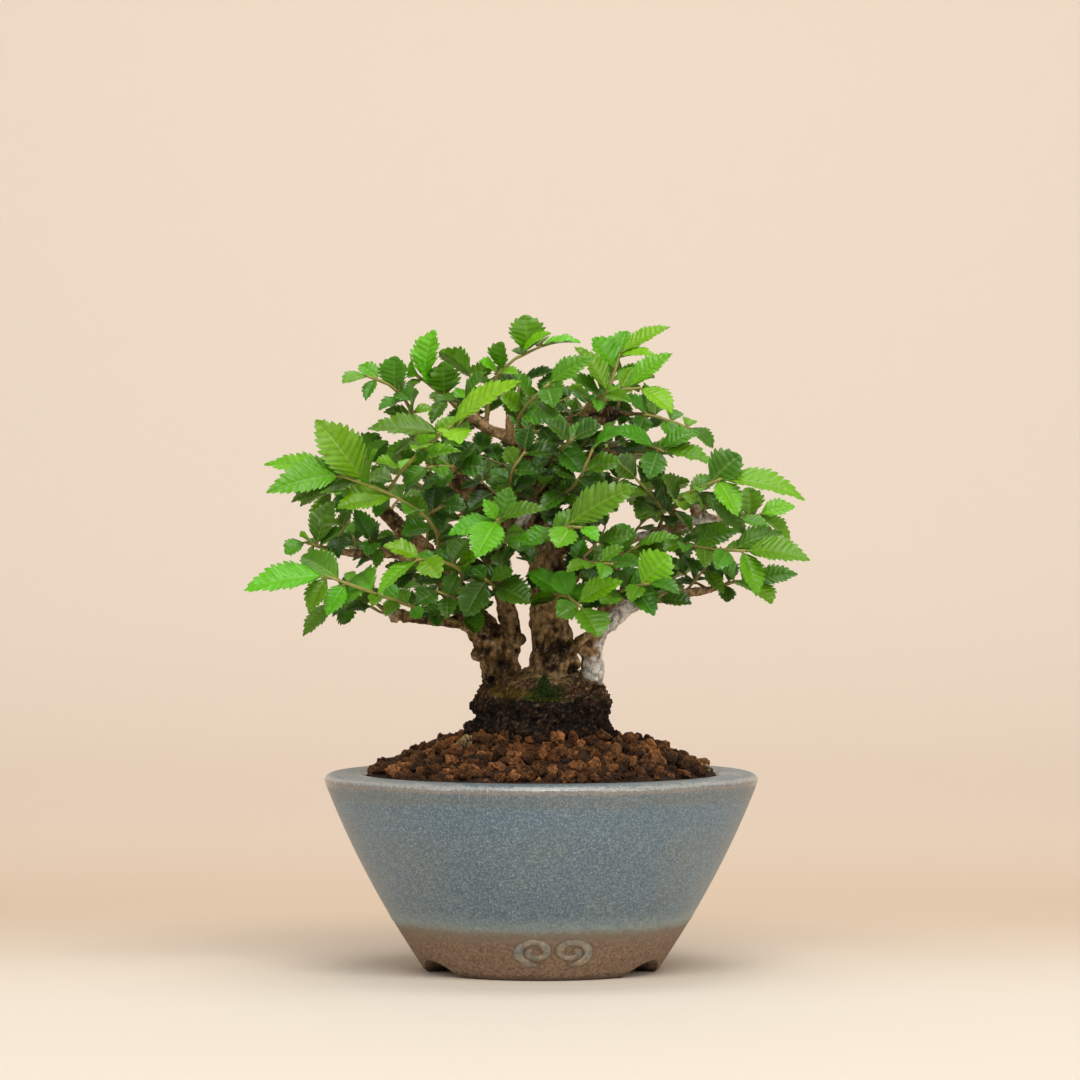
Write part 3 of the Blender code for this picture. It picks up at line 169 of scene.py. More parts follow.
# Shoots read from the front: three points of the stem, then the leaves as
# (share of the stem, x, y and z of the leaf's tip, width)
SHOOTS = {
    "top_left_low": (((-31, -4, 133), (-35, -9, 146), (-44, -14, 151)), [
        (0.62, -37, -12, 156, 7.5), (0.28, -31, -13, 147, 5), (0.58, -33, -17, 145, 4),
        (1, -50, -17, 149, 4.5), (0.85, -46, -10, 154, 4),
    ]),
    "top_left_high": (((-20, 2, 142), (-27, -2, 148), (-34, -4, 153)), [
        (0.3, -25, -5, 155, 6.5), (0.55, -29, -7, 153, 4.5), (0.7, -27, -2, 163, 7.2),
        (0.82, -33, -7, 156, 5.2), (1, -37, -2, 153, 5),
    ]),
    "top_left_inner": (((-16, 4, 140), (-17, 6, 147), (-18, 7, 152)), [
        (0.6, -14, 2, 148, 4), (1, -26, 4, 158, 6), (0.4, -22, 1, 146, 5), (0.8, -20, 13, 153, 5),
    ]),
    "crown_left": (((-14, 3, 139), (-11, 2, 152), (0, 3, 159)), [
        (0.85, -4, 2, 167, 7.4), (0.5, -16, 0, 155, 4), (0.56, -10, -1, 160, 6.2), (0.8, 4, -3, 162, 4.5),
        (1, 10, 0, 160, 5), (0.5, -6, -3, 152, 3.5),
    ]),
    "front_left_bright": (((-39, -10, 117), (-35, -26, 127), (-22, -42, 138)), [
        (0.5, -41, -30, 129, 5), (0.35, -43, -20, 126, 4.5), (0.6, -20, -34, 132, 5),
        (0.78, -31, -44, 132, 5),
        (0.92, -43, -38, 137, 6.5), (0.96, -20, -50, 134, 6.5), (1, -5, -48, 149, 6.5),
    ]),
    "top_front": (((2, -2, 135), (-6, -10, 140), (2, -16, 149)), [
        (0.62, -10, -14, 146, 6), (0.55, 6, -16, 140, 5), (0.8, -7, -18, 151, 5), (0.97, 3, -22, 143, 5),
        (1, 13, -17, 156, 5),
    ]),
    "top_right_bright": (((8, -2, 139), (15, -8, 146), (25, -14, 148)), [
        (0.3, 7, -10, 148, 5), (0.5, 7, -11, 151, 4.5), (0.6, 9, -9, 159, 6), (0.55, 25, -16, 145, 4),
        (0.85, 33, -12, 157, 5), (1, 33, -18, 142, 6),
    ]),
    "apex": (((14, 1, 142), (18, 1, 150), (20, 3, 157)), [
        (1, 33, 3, 164, 4.5), (0.95, 29, -5, 156, 4), (0.7, 13, 1, 161, 8.5), (0.9, 22, 9, 163, 5),
        (0.5, 28, 5, 154, 3.5), (0.4, 12, 5, 152, 5),
    ]),
    "right_top": (((19, 1, 142), (29, 2, 141), (38, 4, 138)), [
        (0.35, 21, 0, 146, 5), (0.5, 29, 4, 145, 4.5), (0.3, 25, -2, 137, 4.5), (0.75, 34, 7, 143, 4),
        (0.65, 33, 0, 136, 4.5), (1, 44, 4, 133, 5),
    ]),
    "right_upper_shoot": (((25, 0, 133), (28, -5, 133), (31, -8, 132)), [
        (0.7, 17, -8, 138, 5), (0.85, 40, -6, 137, 5.5), (0.8, 27, -12, 125, 5.5), (1, 43, -10, 129, 6),
    ]),
    "right_big": (((36, 2, 113), (34, -8, 119), (45, -20, 125)), [
        (0.5, 31, -12, 126, 6), (0.55, 36, -16, 117, 4.5), (0.8, 52, -17, 110, 5), (0.9, 50, -18, 131, 8),
        (0.97, 49, -27, 116, 5.5), (1, 66, -24, 121, 7.5),
    ]),
    "right_mid": (((45, 1, 115), (52, 3, 115), (56, 5, 116)), [
        (0.3, 59, 1, 112, 3.6), (0.65, 53, 4, 123, 6.5), (0.95, 65, 6, 118, 4.5), (1, 64, 8, 108, 6.5),
    ]),
    "right_low_big": (((29, 4, 111), (38, -10, 108), (51, -22, 107)), [
        (1, 67, -26, 105, 7), (0.9, 61, -20, 112, 6), (0.97, 54, -26, 96, 5.5), (0.55, 46, -22, 102, 6),
        (0.35, 31, -8, 107, 5), (0.5, 50, -10, 112, 5),
    ]),
    "right_bottom": (((43, -7, 97), (49, -8, 99), (53, -9, 99)), [
        (0.1, 39, 0, 103, 6), (0.15, 47, -10, 94, 4), (0.5, 44, -9, 106, 5), (0.5, 53, -14, 97, 3),
        (0.95, 58, -14, 93, 6), (1, 65, -8, 101, 4.6),
    ]),
    "left_big": (((-26, -9, 102), (-29, -26, 116), (-50, -34, 126)), [
        (0.88, -56, -30, 140, 9), (0.86, -40, -44, 132, 6), (0.35, -35, -22, 111, 6.5),
        (0.72, -51, -34, 118, 8),
        (0.9, -53, -28, 123, 4.5), (0.98, -62, -32, 119, 4.5),
        (0.98, -69, -30, 129, 5.5), (1, -68, -40, 122, 7),
    ]),
    "left_low_big": (((-19, -7, 88), (-35, -23, 94), (-54, -28, 101)), [
        (0.4, -31, -10, 94, 5), (0.42, -31, -20, 91, 4.5), (0.7, -46, -18, 101, 7), (0.75, -52, -20, 96, 4.5),
        (0.9, -60, -22, 106, 7), (0.98, -58, -30, 92, 4.8), (1, -74, -30, 97, 7.5),
    ]),
    "left_mid_bright": (((-20, -8, 95), (-21, -24, 103), (-31, -36, 105)), [
        (0.5, -16, -26, 106, 5), (0.6, -18, -24, 110, 6), (0.95, -25, -42, 101, 5.5), (1, -40, -40, 96, 5),
    ]),
    "centre_bright": (((-8, -4, 115), (-7, -20, 110), (-11, -34, 115)), [
        (0.5, -3, -20, 108, 5), (0.9, -8, -30, 123, 5), (0.95, -23, -34, 111, 5.5), (0.98, -16, -42, 106, 7),
        (1, 1, -38, 118, 4.6),
    ]),
    "centre_right_bright": (((1, -4, 105), (3, -22, 112), (10, -34, 113)), [
        (0.55, -5, -24, 108, 5), (0.75, 24, -30, 123, 8), (0.85, 4, -36, 108, 7), (1, 14, -38, 110, 3.6),
    ]),
    "bottom_centre": (((2, -6, 91), (5, -20, 96), (10, -32, 93)), [
        (0.5, -3, -20, 103, 5.5), (0.75, 4, -26, 102, 5.5), (0.9, 20, -32, 100, 5.5), (0.95, 4, -34, 91, 5.5),
        (1, 14, -38, 86, 7.5),
    ]),
    "bottom_right": (((17, -2, 94), (20, -18, 97), (27, -28, 99)), [
        (0.85, 32, -26, 106, 8), (1, 37, -32, 97, 5), (0.75, 28, -30, 91, 5.5), (0.45, 15, -22, 94, 5),
        (0.6, 19, -22, 102, 5),
    ]),
    "right_centre": (((18, 0, 99), (19, -14, 104), (24, -22, 108)), [
        (0.4, 15, -10, 108, 5.5), (0.5, 25, -18, 104, 3.8), (0.7, 20, -16, 114, 6), (0.8, 30, -24, 107, 5.5),
        (1, 35, -20, 109, 5),
    ]),
    "bottom_left_centre": (((-9, 0, 93), (-11, -16, 97), (-14, -24, 100)), [
        (0.7, -3, -26, 94, 7), (0.85, -7, -22, 102, 4.5), (0.95, -19, -28, 91, 6.8), (1, -17, -22, 103, 5),
    ]),
    "left_bottom": (((-15, -7, 88), (-19, -16, 93), (-26, -24, 97)), [
        (0.4, -33, -20, 89, 5), (0.5, -18, -20, 97, 5), (0.85, -21, -22, 101, 5), (1, -31, -28, 94, 5),
    ]),
    "left_far": (((-53, -4, 107), (-57, -4, 108), (-60, -5, 109)), [
        (0.2, -48, -6, 111, 5), (0.35, -52, -2, 120, 6.5), (0.6, -61, -8, 111, 4.5), (0.6, -56, -2, 104, 4.5),
        (1, -65, -6, 106, 4.8),
    ]),
    "left_under": (((-38, -8, 91), (-46, 0, 95), (-53, 4, 93)), [
        (0.5, -45, 2, 91, 4), (0.9, -50, 6, 88, 4.8), (1, -61, 2, 85, 4.4),
    ]),
    "left_upper_back": (((-38, -6, 116), (-43, 6, 124), (-46, 12, 132)), [
        (0.5, -49, 8, 121, 5), (0.6, -39, 4, 128, 5.5), (0.95, -42, 10, 137, 5.5), (1, -50, 14, 136, 4.5),
    ]),
    "left_behind": (((-43, -8, 120), (-50, 2, 124), (-54, 8, 122)), [
        (0.5, -49, 0, 115, 5.5), (0.95, -57, 6, 110, 6.5), (1, -62, 10, 118, 4.6),
    ]),
    "inner_left": (((-33, -9, 110), (-30, -16, 115), (-25, -20, 118)), [
        (0.55, -34, -18, 114, 7), (0.75, -23, -22, 112, 6.5), (0.8, -27, -16, 123, 5.5),
        (1, -19, -22, 118, 5),
    ]),
    "inner_mid": (((1, -2, 128), (4, -14, 132), (8, -22, 135)), [
        (0.45, 0, -12, 138, 6.5), (0.6, 10, -20, 127, 6), (0.9, 2, -24, 139, 6.5), (1, 15, -24, 138, 6),
    ]),
    "inner_right": (((1, -2, 120), (8, -18, 123), (13, -24, 133)), [
        (0.6, 3, -20, 129, 6), (0.55, 16, -20, 124, 4.8), (0.75, 20, -24, 129, 5.5), (1, 19, -30, 139, 6),
    ]),
    "inner_right_low": (((30, 4, 112), (30, -6, 118), (24, -10, 125)), [
        (0.6, 31, -12, 124, 7), (0.45, 24, -12, 115, 6), (0.75, 20, -12, 121, 5), (1, 18, -12, 130, 7.5),
        (0.9, 28, -8, 130, 5),
    ]),
    "inner_left_low": (((0, -2, 118), (-8, -14, 124), (-4, -18, 132)), [
        (0.5, -10, -16, 120, 5), (0.7, -1, -20, 127, 4.5), (0.8, -9, -18, 133, 5.5), (0.95, 5, -20, 132, 5),
        (1, -3, -18, 138, 7.5),
    ]),
    "left_dark": (((-22, -5, 125), (-22, -14, 128), (-28, -22, 128)), [
        (0.4, -14, -14, 128, 6.5), (0.55, -17, -12, 134, 6), (0.7, -25, -20, 123, 6), (1, -34, -24, 123, 7),
        (0.95, -28, -22, 134, 5),
    ]),
}
# Shoots on the sides that the front doesn't show: the stem, how many leaves, and the longest leaf
REAR_SHOOTS = {
    "back_right_tip": (((19, 36, 120), (26, 40, 121), (34, 44, 120)), 5, 12),
    "back_right_up": (((9, 22, 117), (14, 29, 126), (17, 34, 134)), 6, 11),
    "back_left_tip": (((-19, 38, 128), (-26, 41, 130), (-33, 43, 131)), 5, 12),
    "back_left_low": (((-9, 24, 124), (-19, 31, 117), (-29, 35, 112)), 5, 12),
    "back_top_tip": (((9, 32, 142), (12, 38, 144), (16, 43, 143)), 5, 10),
    "back_top_left": (((4, 20, 138), (-5, 26, 145), (-13, 30, 149)), 5, 11),
    "back_mid_tip": (((-8, 38, 112), (-8, 42, 113), (-5, 48, 112)), 5, 9),
    "back_mid_right": (((-5, 24, 109), (5, 34, 105), (14, 40, 102)), 5, 11),
    "back_far_right": (((35, 4, 113), (42, 16, 112), (47, 25, 114)), 5, 12),
    "back_far_left": (((-37, -6, 106), (-43, 8, 106), (-48, 20, 109)), 5, 12),
    "back_low_right": (((23, -3, 96), (29, 11, 97), (34, 20, 100)), 5, 11),
    "back_low_left": (((-13, 9, 105), (-19, 20, 100), (-27, 27, 98)), 5, 11),
    "back_upper_left": (((-21, 20, 118), (-27, 24, 121), (-36, 26, 126)), 6, 11),
    "back_upper_right": (((18, 3, 132), (25, 14, 131), (32, 23, 132)), 5, 11),
    "front_low_tip": (((10, -28, 105), (13, -34, 104), (18, -40, 104)), 5, 9),
}

# A burr's or stub's rows: share of the way out, and share of its radius
KNOB_ROWS = ((0.3, 0.9), (0.85, 1.1), (1.25, 0.6))

# Leaf and stem sizes
STUB_REACH = 1.4
STUB_RADIUS = 1.0
SHORT_STEM = 2.5
STEM_RADIUS = 0.6
STEM_TIP_RADIUS = 0.42
STEM_STEPS = 4
LAST_ROOT = 0.985
BLADE_THICK = 0.9
FOLD = 0.3
ARCH = 0.07
WIDEN = 1.2
WIDEST_HALF = 0.45
BLADE_LEAN = 1.15
BLADE_FULLNESS = 0.7
PAST_STUB = 0.35
WAY_STEP = 0.05

# How a leaf's face looks: upward, away from the trunks, and to the front or back of this line
LOOK_UP = 0.75
LOOK_OUT = 0.2
LOOK_FRONT = -0.6
LOOK_BACK = 0.5
FRONT_LINE = 6.0
WANDER = (0.3, 0.2, 0.2)

# The rear shoots' leaves
FIRST_LEAF = 0.3
SPREAD = (45, 65)
END_SPREAD = 12
REAR_LENGTH = (0.85, 1.05)
REAR_WIDTH = (0.45, 0.58)
LEAF_GROWTH = 0.6

# Keeping leaves clear of the rest: the room, and how far a leaf is shifted and shrunk to find it
CLEAR = 0.25
BARK_ROOM = 1.12
NECK = 0.12
BLADE_START = 0.34
PROXY_NECK = 0.5
PROXY_ROWS = ((0.5, 1.0), (0.78, 0.75))
THIN_EDGE = 0.7
PROXY_SIDES = 7
TRIES = 60
SHIFT = 0.07
STEM_SPREAD = 0.08
SHIFT_DEPTH = 2.2
SHRINK = 0.004
SEED = 11

# Leaves: the fine blades
FINE_START = 0.07
VEIN_SLANT = 0.2
FINE_COLUMNS = (0.0, 0.1, 0.42, 0.76, 1.0)
PLAIN_COLUMNS = (0.0, 0.14, 0.6, 1.0)
# Side veins: for leaves longer than this, how many and the columns of points from rib to margin
VEIN_PLANS = ((14, 12, FINE_COLUMNS), (11, 10, FINE_COLUMNS), (8, 8, PLAIN_COLUMNS), (0, 6, PLAIN_COLUMNS))
# The margin between two side veins: where along it, how far out, and how far ahead
TOOTH_ROWS = ((0.0, 1.14, 0.3), (0.1, 0.86, 0.06), (0.4, 0.97, 0.0), (0.74, 1.08, 0.08))
FINE_THICK = 0.22
QUILT = 0.26
QUILT_LENGTH = 12
NEAR_EDGE = 0.98
UNDER_SWELL = 0.8
RIB_GROOVE = 0.16
RIB_RIDGE = 0.2
RIDGE_LEAST = 0.05
VEIN_END = 0.9
BLADE_BEND = (-0.02, 0.08)
BLADE_RIPPLE = (0.03, 0.09)
RIPPLE_RATE = 2.1
FULL_TURN = 6.28
# Long leaves: the length over the width that they start from, how soon, and their outline's powers
SLIM_FROM = 1.15
SLIM_RATE = 1.3
SLIM_LEAN = 0.84
SLIM_FULLNESS = 0.92
# The petiole: share of the leaf's length, how far down in blade thicknesses, and radius
PETIOLE_RADIUS = 0.27
PETIOLE_ROWS = ((0, 0, PETIOLE_RADIUS), (FINE_START, 0.5, PETIOLE_RADIUS * 0.9), (0.2, 1, 0.08))
PETIOLE_SIDES = 5
PETIOLE_GREEN = 0.3

# Leaf colours, from old inner leaves, whose deep green is partly painted shade inside the crown, to young
# tips
LEAF_DEEP = (0.017, 0.06, 0.003)
LEAF_MID = (0.1, 0.315, 0.002)
LEAF_YOUNG = (0.15, 0.435, 0.003)
LEAF_UNDER = (0.12, 0.25, 0.03)
LEAF_BRIGHTEST = 0.5
# What a leaf's tint is mixed with, and how much, on veins, rib, margin, grooves (painted shade beside the
# veins) and underside
LEAF_MARKS = (
    ((0.26, 0.48, 0.08), 0.09), ((0.4, 0.55, 0.12), 0.16), ((0.12, 0.3, 0.02), 0.3), ((0, 0, 0), 0.15),
    (LEAF_UNDER, 0.5),
)
MID_AGE = 0.4
DEEP_AGE = 0.18
AGE_WANDER = (-0.12, 0.14)
LEAF_WARMTH = (0.68, 1.38)
LEAF_LIGHT = (0.5, 1.42)
# How far a leaf lies out of the crown's core and top: outer leaves are younger, and lighter as painted light;
# inner ones darker as painted shade
CROWN_CORE = 18
CROWN_RIND = 40
CROWN_HIGH = 130
CROWN_TOP = 25
REAR_LINE = 8
# How young the leaves are: in plain, inner and rear shoots, and in the shoots whose tips are bright; the
# inner shoots' deep green is partly painted shade inside the crown
PLAIN_YOUNG = 0.3
INNER_YOUNG = 0.08
REAR_YOUNG = 0.35
YOUNG_SHOOTS = {
    "front_left_bright": 1.0, "left_mid_bright": 0.8, "centre_bright": 0.8, "centre_right_bright": 0.7,
    "bottom_centre": 0.8, "right_big": 0.6, "right_low_big": 0.7, "left_big": 0.6, "left_low_big": 0.8,
    "top_right_bright": 0.75, "right_mid": 0.6, "right_bottom": 0.6, "bottom_right": 0.5, "top_front": 0.5,
    "top_left_low": 0.6, "top_left_high": 0.7, "crown_left": 0.75, "apex": 0.8, "right_top": 0.6,
    "right_upper_shoot": 0.55, "left_upper_back": 0.45, "left_far": 0.5, "top_left_inner": 0.5,
}
INNER_SHOOTS = ("inner_left", "inner_mid", "inner_right", "inner_right_low", "inner_left_low", "left_dark")

# Stems and buds
STEM_OLD = (0.17, 0.075, 0.03)
STEM_YOUNG = (0.33, 0.32, 0.07)
STEM_YOUNG_GREEN = 0.4
STEM_TIP_GREEN = 0.8
STEM_RINGS = 14
STEM_SIDES = 7
STEM_NODE = 1.06
STEM_BETWEEN = 0.84
STEM_NODE_EVERY = 3
STEM_SINK = 0.8
STUB_TAPER = 0.8
# A bud's rows: share of its length, and its radius as a share of that length
BUD_ROWS = ((0, 0.16), (0.5, 0.3), (1, 0.05))
BUD_SIDES = 5
BUD_GREEN = 0.35
BUD_UP = 0.4
BUD_OUT = 0.25
BUD_SIZE = (0.8, 1.4)
SPRAY_SEED = 500

# Smaller leaves between those of the solids: how each stands out from its stem, and how many
SIDE_TURN = (30, 85)
SIDE_LIFT = (-0.35, 0.3)
SIDE_WIDTH = (0.5, 0.66)
LEAST_CROSS = 0.1
SMALL_LENGTH = (5.5, 10.5)
EXTRA_SEED = 900
EXTRA_TRIES = 26
EXTRA_LEAVES = (5, 8)
EXTRA_PLACE = (0.12, 1.0)
EXTRA_SHRINK = 0.015

# Short twigs inside the crown: along which limbs, and every how many millimetres
TWIG_LIMBS = {
    "left_trunk": 7, "left_inner": 7, "mid_trunk": 5, "mid_left": 6, "right_upper": 6, "right_low": 8,
    "left_mid": 8, "upper_left": 6, "right_knob": 6, "left_low": 10, "back_right": 9, "back_left": 9,
    "back_top": 9, "back_mid": 9, "front_low": 8, "pale_stub": 8, "crown_stub": 8, "right_trunk": 9,
}
TWIG_SEED = 1300
TWIG_LOOK_SEED = 77
TWIG_LOWEST = 90.0
TWIG_LENGTH = (6.0, 15.0)
TWIG_RISE = (-0.15, 1.0)
TWIG_DEPTH = 1.2
TWIG_LIFT = 2.5
TWIG_CLEAR = 0.5
TWIG_RADIUS = 0.42
TWIG_ROOT = 1.3
TWIG_TAPER = 0.09
TWIG_STEPS = 4
TWIG_SIDES = 6
TWIG_RINGS = 8
TWIG_TRIES = 9
TWIG_LEAVES = (4, 6)
TWIG_LEAST = 2
TWIG_FIRST = 0.35
TWIG_SPACING = 0.16
TWIG_LEAF_TRIES = 7
TWIG_YOUNG = 0.1
TWIG_REAR_LINE = 10

# Wood: the fine skin
PATH_STEP = 1.2
WOOD_GRAIN = 0.00046
SOFTEN_TIMES = 3
FINE_BASE_BOTTOM = 54.0
LIMB_RING = 12
KNOB_RING = 8
KNOB_REACH = 0.93
KNOB_SLIM = 0.86
STUB_RING = 8
# Small roots that stand out of the base: where, which way and how thick
ROOTS = [
    ((-15.5, -4, 62.5), (-4.2, -1.5, -1.2), 1.9), ((15.5, -5, 61.5), (3.6, -1.5, -1.8), 1.8),
    ((-4, -12, 62), (-1, -3.2, -2.4), 1.7), ((8, -12, 61.5), (1.5, -3.0, -2.2), 1.5),
    ((3, 12, 62), (1, 4, -2), 2.0), ((-10, 9, 62), (-3, 3.4, -2), 1.8), ((12, 8, 62), (3, 3.0, -2), 1.8),
    ((-3.2, -3, 74), (0.4, 0, 2.8), 2.6), ((-1, -8, 72.5), (0.6, -0.6, 2.6), 2.4),
    ((8.5, -5, 73), (0, 0, 2.4), 2.6),
]
ROOT_ROWS = ((0, 1.0), (0.5, 1.1), (1, 0.6))
ROOT_RING = 9

# Noises on the wood: how a finer layer follows a coarser one, then the scale and layers of each
NOISE_FALL = 0.9
NOISE_STEP = 2.1
FISSURE_NOISE = (0.62, 4)
GRAIN_NOISE = (1.2, 3)
PIT_NOISE = (0.28, 2)
PIT_SHIFT = Vector((40, 7, 3))
BROAD_NOISE = (0.16, 3)
PATCH_NOISE = (0.09, 3)
TINT_NOISE = (0.5, 3)
SPECKLE_NOISE = (1.6, 2)
STREAK_NOISE = (1.4, 3)
LAYER_NOISE = (0.8, 3)
FLECK_NOISE = (2.2, 2)

# Bark colours, and the heights where the root base's colours change
BARK_BROWN = (0.15, 0.082, 0.025)
BARK_WARM = (0.46, 0.29, 0.135)
# Dark patches of bark, and the painted shade where the bark lies deep
BARK_DARK_AND_PAINTED_SHADE = (0.012, 0.007, 0.004)
BARK_GREY = (0.95, 0.88, 0.82)
# Painted light on the centre trunk: lighter on its right side and darker on its left
MID_TRUNK_PAINTED_SIDE_LIGHT = 0.34
BASE_BLACK = (0.006, 0.0055, 0.005)
BASE_RED = (0.07, 0.03, 0.012)
BASE_YELLOW = (0.13, 0.085, 0.012)
BASE_PALE = (0.34, 0.21, 0.13)
CUT_PALE = (0.45, 0.36, 0.27)
BASE_FOOT_TOP = 62
BASE_BLACK_TOP = 71.5
BASE_BARK_TOP = 73.5
BASE_ROUGH_TOP = 76
YELLOW_AT = (-8.3, 71.6)
CRUST_BOTTOM = 78
FULL_BARK_RADIUS = 2.6
# Where the bark is pale grey: the limb, and the heights between which it is
PALE_BARK = {
    "right_trunk": (71, 99), "right_upper": (106, 130), "pale_stub": (110, 130), "crown_stub": (138, 150),
    "right_low": (96, 99),
}
# Pale cut ends and the pitted one: x, y, z and reach
CUT_ENDS = ((-2.5, -9, 120, 2.6), (12, -3, 139, 2.2), (-38, -9.5, 91, 2.6), (40, 1, 118, 2.0))
# Old knots with a hole, painted dark as shade, and a raised ring: x, z and the hole's radius, on the front
KNOT_HOLES = (
    (-11.3, 85.8, 1.0), (-14.6, 85.0, 0.8), (-10.5, 78.4, 1.1), (3.7, 87.1, 0.9), (7.8, 76.9, 1.3),
    (12.2, 83.2, 1.0), (23.6, 93.6, 1.3), (-6.5, 81.5, 0.7), (17.6, 89.4, 0.7), (1.2, 79.5, 0.8),
    (-12.6, 74.2, 0.9),
)
KNOT_BACK = 2
KNOT_RING = 0.55
KNOT_DEPTH = 1.5

# Granules: a crumbly stone's shape and shades: painted shade in its hollows, painted light on its bumps and
# on its top
PEBBLE_SHAPES = 24
PEBBLE_DETAIL = 3
PEBBLE_SHIFT = 50
PEBBLE_STRETCH = (0.8, 1.2)
PEBBLE_CUTS = 11
PEBBLE_DEPTH = (0.55, 0.88)
PEBBLE_REACH = 1.12
PEBBLE_LEAST_SLOPE = 0.05
PEBBLE_BUMPS = ((2.2, 0.2), (4.6, 0.3), (10, 0.16))
# Painted shade and light on a granule: darker where its surface dips, lighter where it bulges
PEBBLE_PAINTED_SHADE = 0.94
PEBBLE_PAINTED_SHADE_CONTRAST = 4.2
PAINTED_SHADE_RANGE = (0.16, 1.9)
# Painted light on a granule: lighter on its top and darker underneath
PAINTED_TOP_LIGHT = 0.95
PAINTED_TOP_LIGHT_CONTRAST = 0.45
PAINTED_TOP_LIGHT_RANGE = (0.4, 1.3)
# Granules: how they are packed
LARGE_GRANULES = (1.7, 1.85, 2.0, 2.2, 2.4)
SMALL_GRANULES = (1.0, 1.6)
GRANULE_TRIES = 17000
LARGE_TRIES = 9000
GRANULE_CELL = 6.0
GRANULE_PACKING = 0.74
GRANULE_BESIDE = 0.55
GRANULE_INSIDE = 0.9
GRANULE_CLEAR = 0.4
GRANULE_RISE = (-0.1, 0.8)
GRANULE_SINK = 0.35
GRANULE_GREY = (0.45, 1.15)
GRANULE_TINTS = (
    (0.18, 0.066, 0.014), (0.105, 0.038, 0.008), (0.22, 0.082, 0.021), (0.07, 0.026, 0.006),
    (0.14, 0.054, 0.012), (0.28, 0.11, 0.034),
)
BLACK_GRANULE = (0.02, 0.017, 0.016)
BLACK_SIZE = 2
BLACK_SHARE = 0.025
YELLOW_GRANULE = (0.4, 0.27, 0.12)
PALE_SPOTS = ((43.5, -8), (37, -22), (-20, -9), (20, 30))
PALE_REACH = 1.7

# Where moss grows on the root base: x, y, z, half widths and how many blades
MOSS_PATCHES = (
    (1.4, -13.6, 71.4, 4.6, 1.7, 760), (0.6, -11.5, 73.8, 1.8, 1.8, 300), (-2.4, -14.0, 69.6, 2.4, 0.6, 160),
    (2.6, -14.0, 69.3, 5.0, 0.35, 330),
)
MOSS_LOW = (0.01, 0.035, 0.004)
MOSS_HIGH = (0.07, 0.13, 0.01)
MOSS_FRINGE = (0.17, 0.2, 0.015)
FRINGE_TALL = 0.7
MOSS_SPREAD = (0.45, 0.5)
MOSS_BEFORE = 3
MOSS_SINK = 0.15
MOSS_UP = 0.7
MOSS_LEAN = 0.6
MOSS_LENGTH = (0.3, 0.75)
MOSS_WIDTH = (0.12, 0.24)
MOSS_BEND = 0.5
MOSS_THICK = 0.12
MOSS_FACES = [(0, 1, 2, 3), (3, 2, 4), (1, 0, 5), (0, 3, 5), (3, 4, 5), (4, 2, 5), (2, 1, 5)]

# Pot: the fine body's heights up the outside, its lip and its inside
POT_RING = 128
POT_SHARP = 50
OUTER_HEIGHTS = (
    0, 0.5, 1.2, 3, 5, 7.5, 10, 11.4, 12.2, 12.6, 13.0, 13.5, 14.2, 15.2, 17, 20, 24, 28, 32, 36, 40, 44,
    46.5, 47.6,
)
FOOT_BEVEL = 0.35
LIP_ROUND = (3.0, 1.7)
LIP_STEPS = 10
# The lip's inner edge: how far out of its inner radius, and how far below its top
LIP_ROWS = ((4.2, 0.1), (1.4, 0.1), (0.4, 0.5), (0, 1.2), (0.3, 2.7))
INNER_HEIGHTS = (43.5, 30, 16, FLOOR_TOP)
GLAZE_EDGE = 12.6
GLAZE_STEP = 0.06
GLAZE_BEAD = 0.1
BEAD_ABOVE = 0.9
NOTCH_PAST = 1.15
NOTCH_STEPS = 28
# The scrolls' band, from one edge over the top to the other: across, up, and how pale, from the painted shade
# at its edges to the slip's colour on top
SCROLL_SECTION = (
    (-2.2, -0.3, 0.0), (-2.05, 0.03, 0.05), (-1.7, 0.4, 0.5), (-1.0, 0.85, 0.95), (0.0, 1.0, 1.0),
    (1.0, 0.85, 0.95), (1.7, 0.4, 0.5), (2.05, 0.03, 0.05), (2.2, -0.3, 0.0), (0.0, -0.6, 0.0),
)
SCROLL_FINE_STEPS = 72
SCROLL_RISE = SCROLL_RELIEF * 0.9
# Painted shade along the scrolls' edges
SLIP_EDGE_SHADE = (0.085, 0.045, 0.025)
SLIP_CREAM = (0.4, 0.31, 0.2)
SLIP_GREY = (0.23, 0.25, 0.24)

# Glaze colours, from the foot to the rim
GLAZE_CLOUDS = ((0.08, 0.132, 0.18), (0.1, 0.156, 0.206), (0.129, 0.168, 0.18))
GLAZE_DARK = (0.045, 0.09, 0.135)
GLAZE_BLUE = (0.08, 0.155, 0.235)
GLAZE_FLECK = (0.45, 0.545, 0.55)
GLAZE_EDGE_PALE = (0.3, 0.36, 0.34)
GLAZE_THIN = (0.22, 0.185, 0.14)
# The rim's edge: pale thin glaze, brightened as a painted highlight
RIM_PALE_AND_HIGHLIGHT = (0.64, 0.58, 0.5)
RIM_WARM = (0.16, 0.15, 0.125)
RIM_TAN = (0.38, 0.26, 0.18)
FOOT_CLAY = ((0.08, 0.042, 0.022), (0.4, 0.265, 0.17))
# Painted shade along the foot's bottom edge
FOOT_PAINTED_SHADE = (0.05, 0.028, 0.018)
# Heights on the pot as shares of fifty millimetres, where its colours and its gloss change
LEVEL_SPAN = 0.05
LEVEL_SHIFT = 0.05
FOOT_TOP = (0.165, 0.235, 0.245, 0.285)
PALE_BAND = (0.235, 0.262, 0.275, 0.345)
# Where the painted shade at the foot's bottom edge fades out
FOOT_SHADE_BAND = (0.018, 0.032)
RIM_BAND = (0.952, 0.966, 0.978)
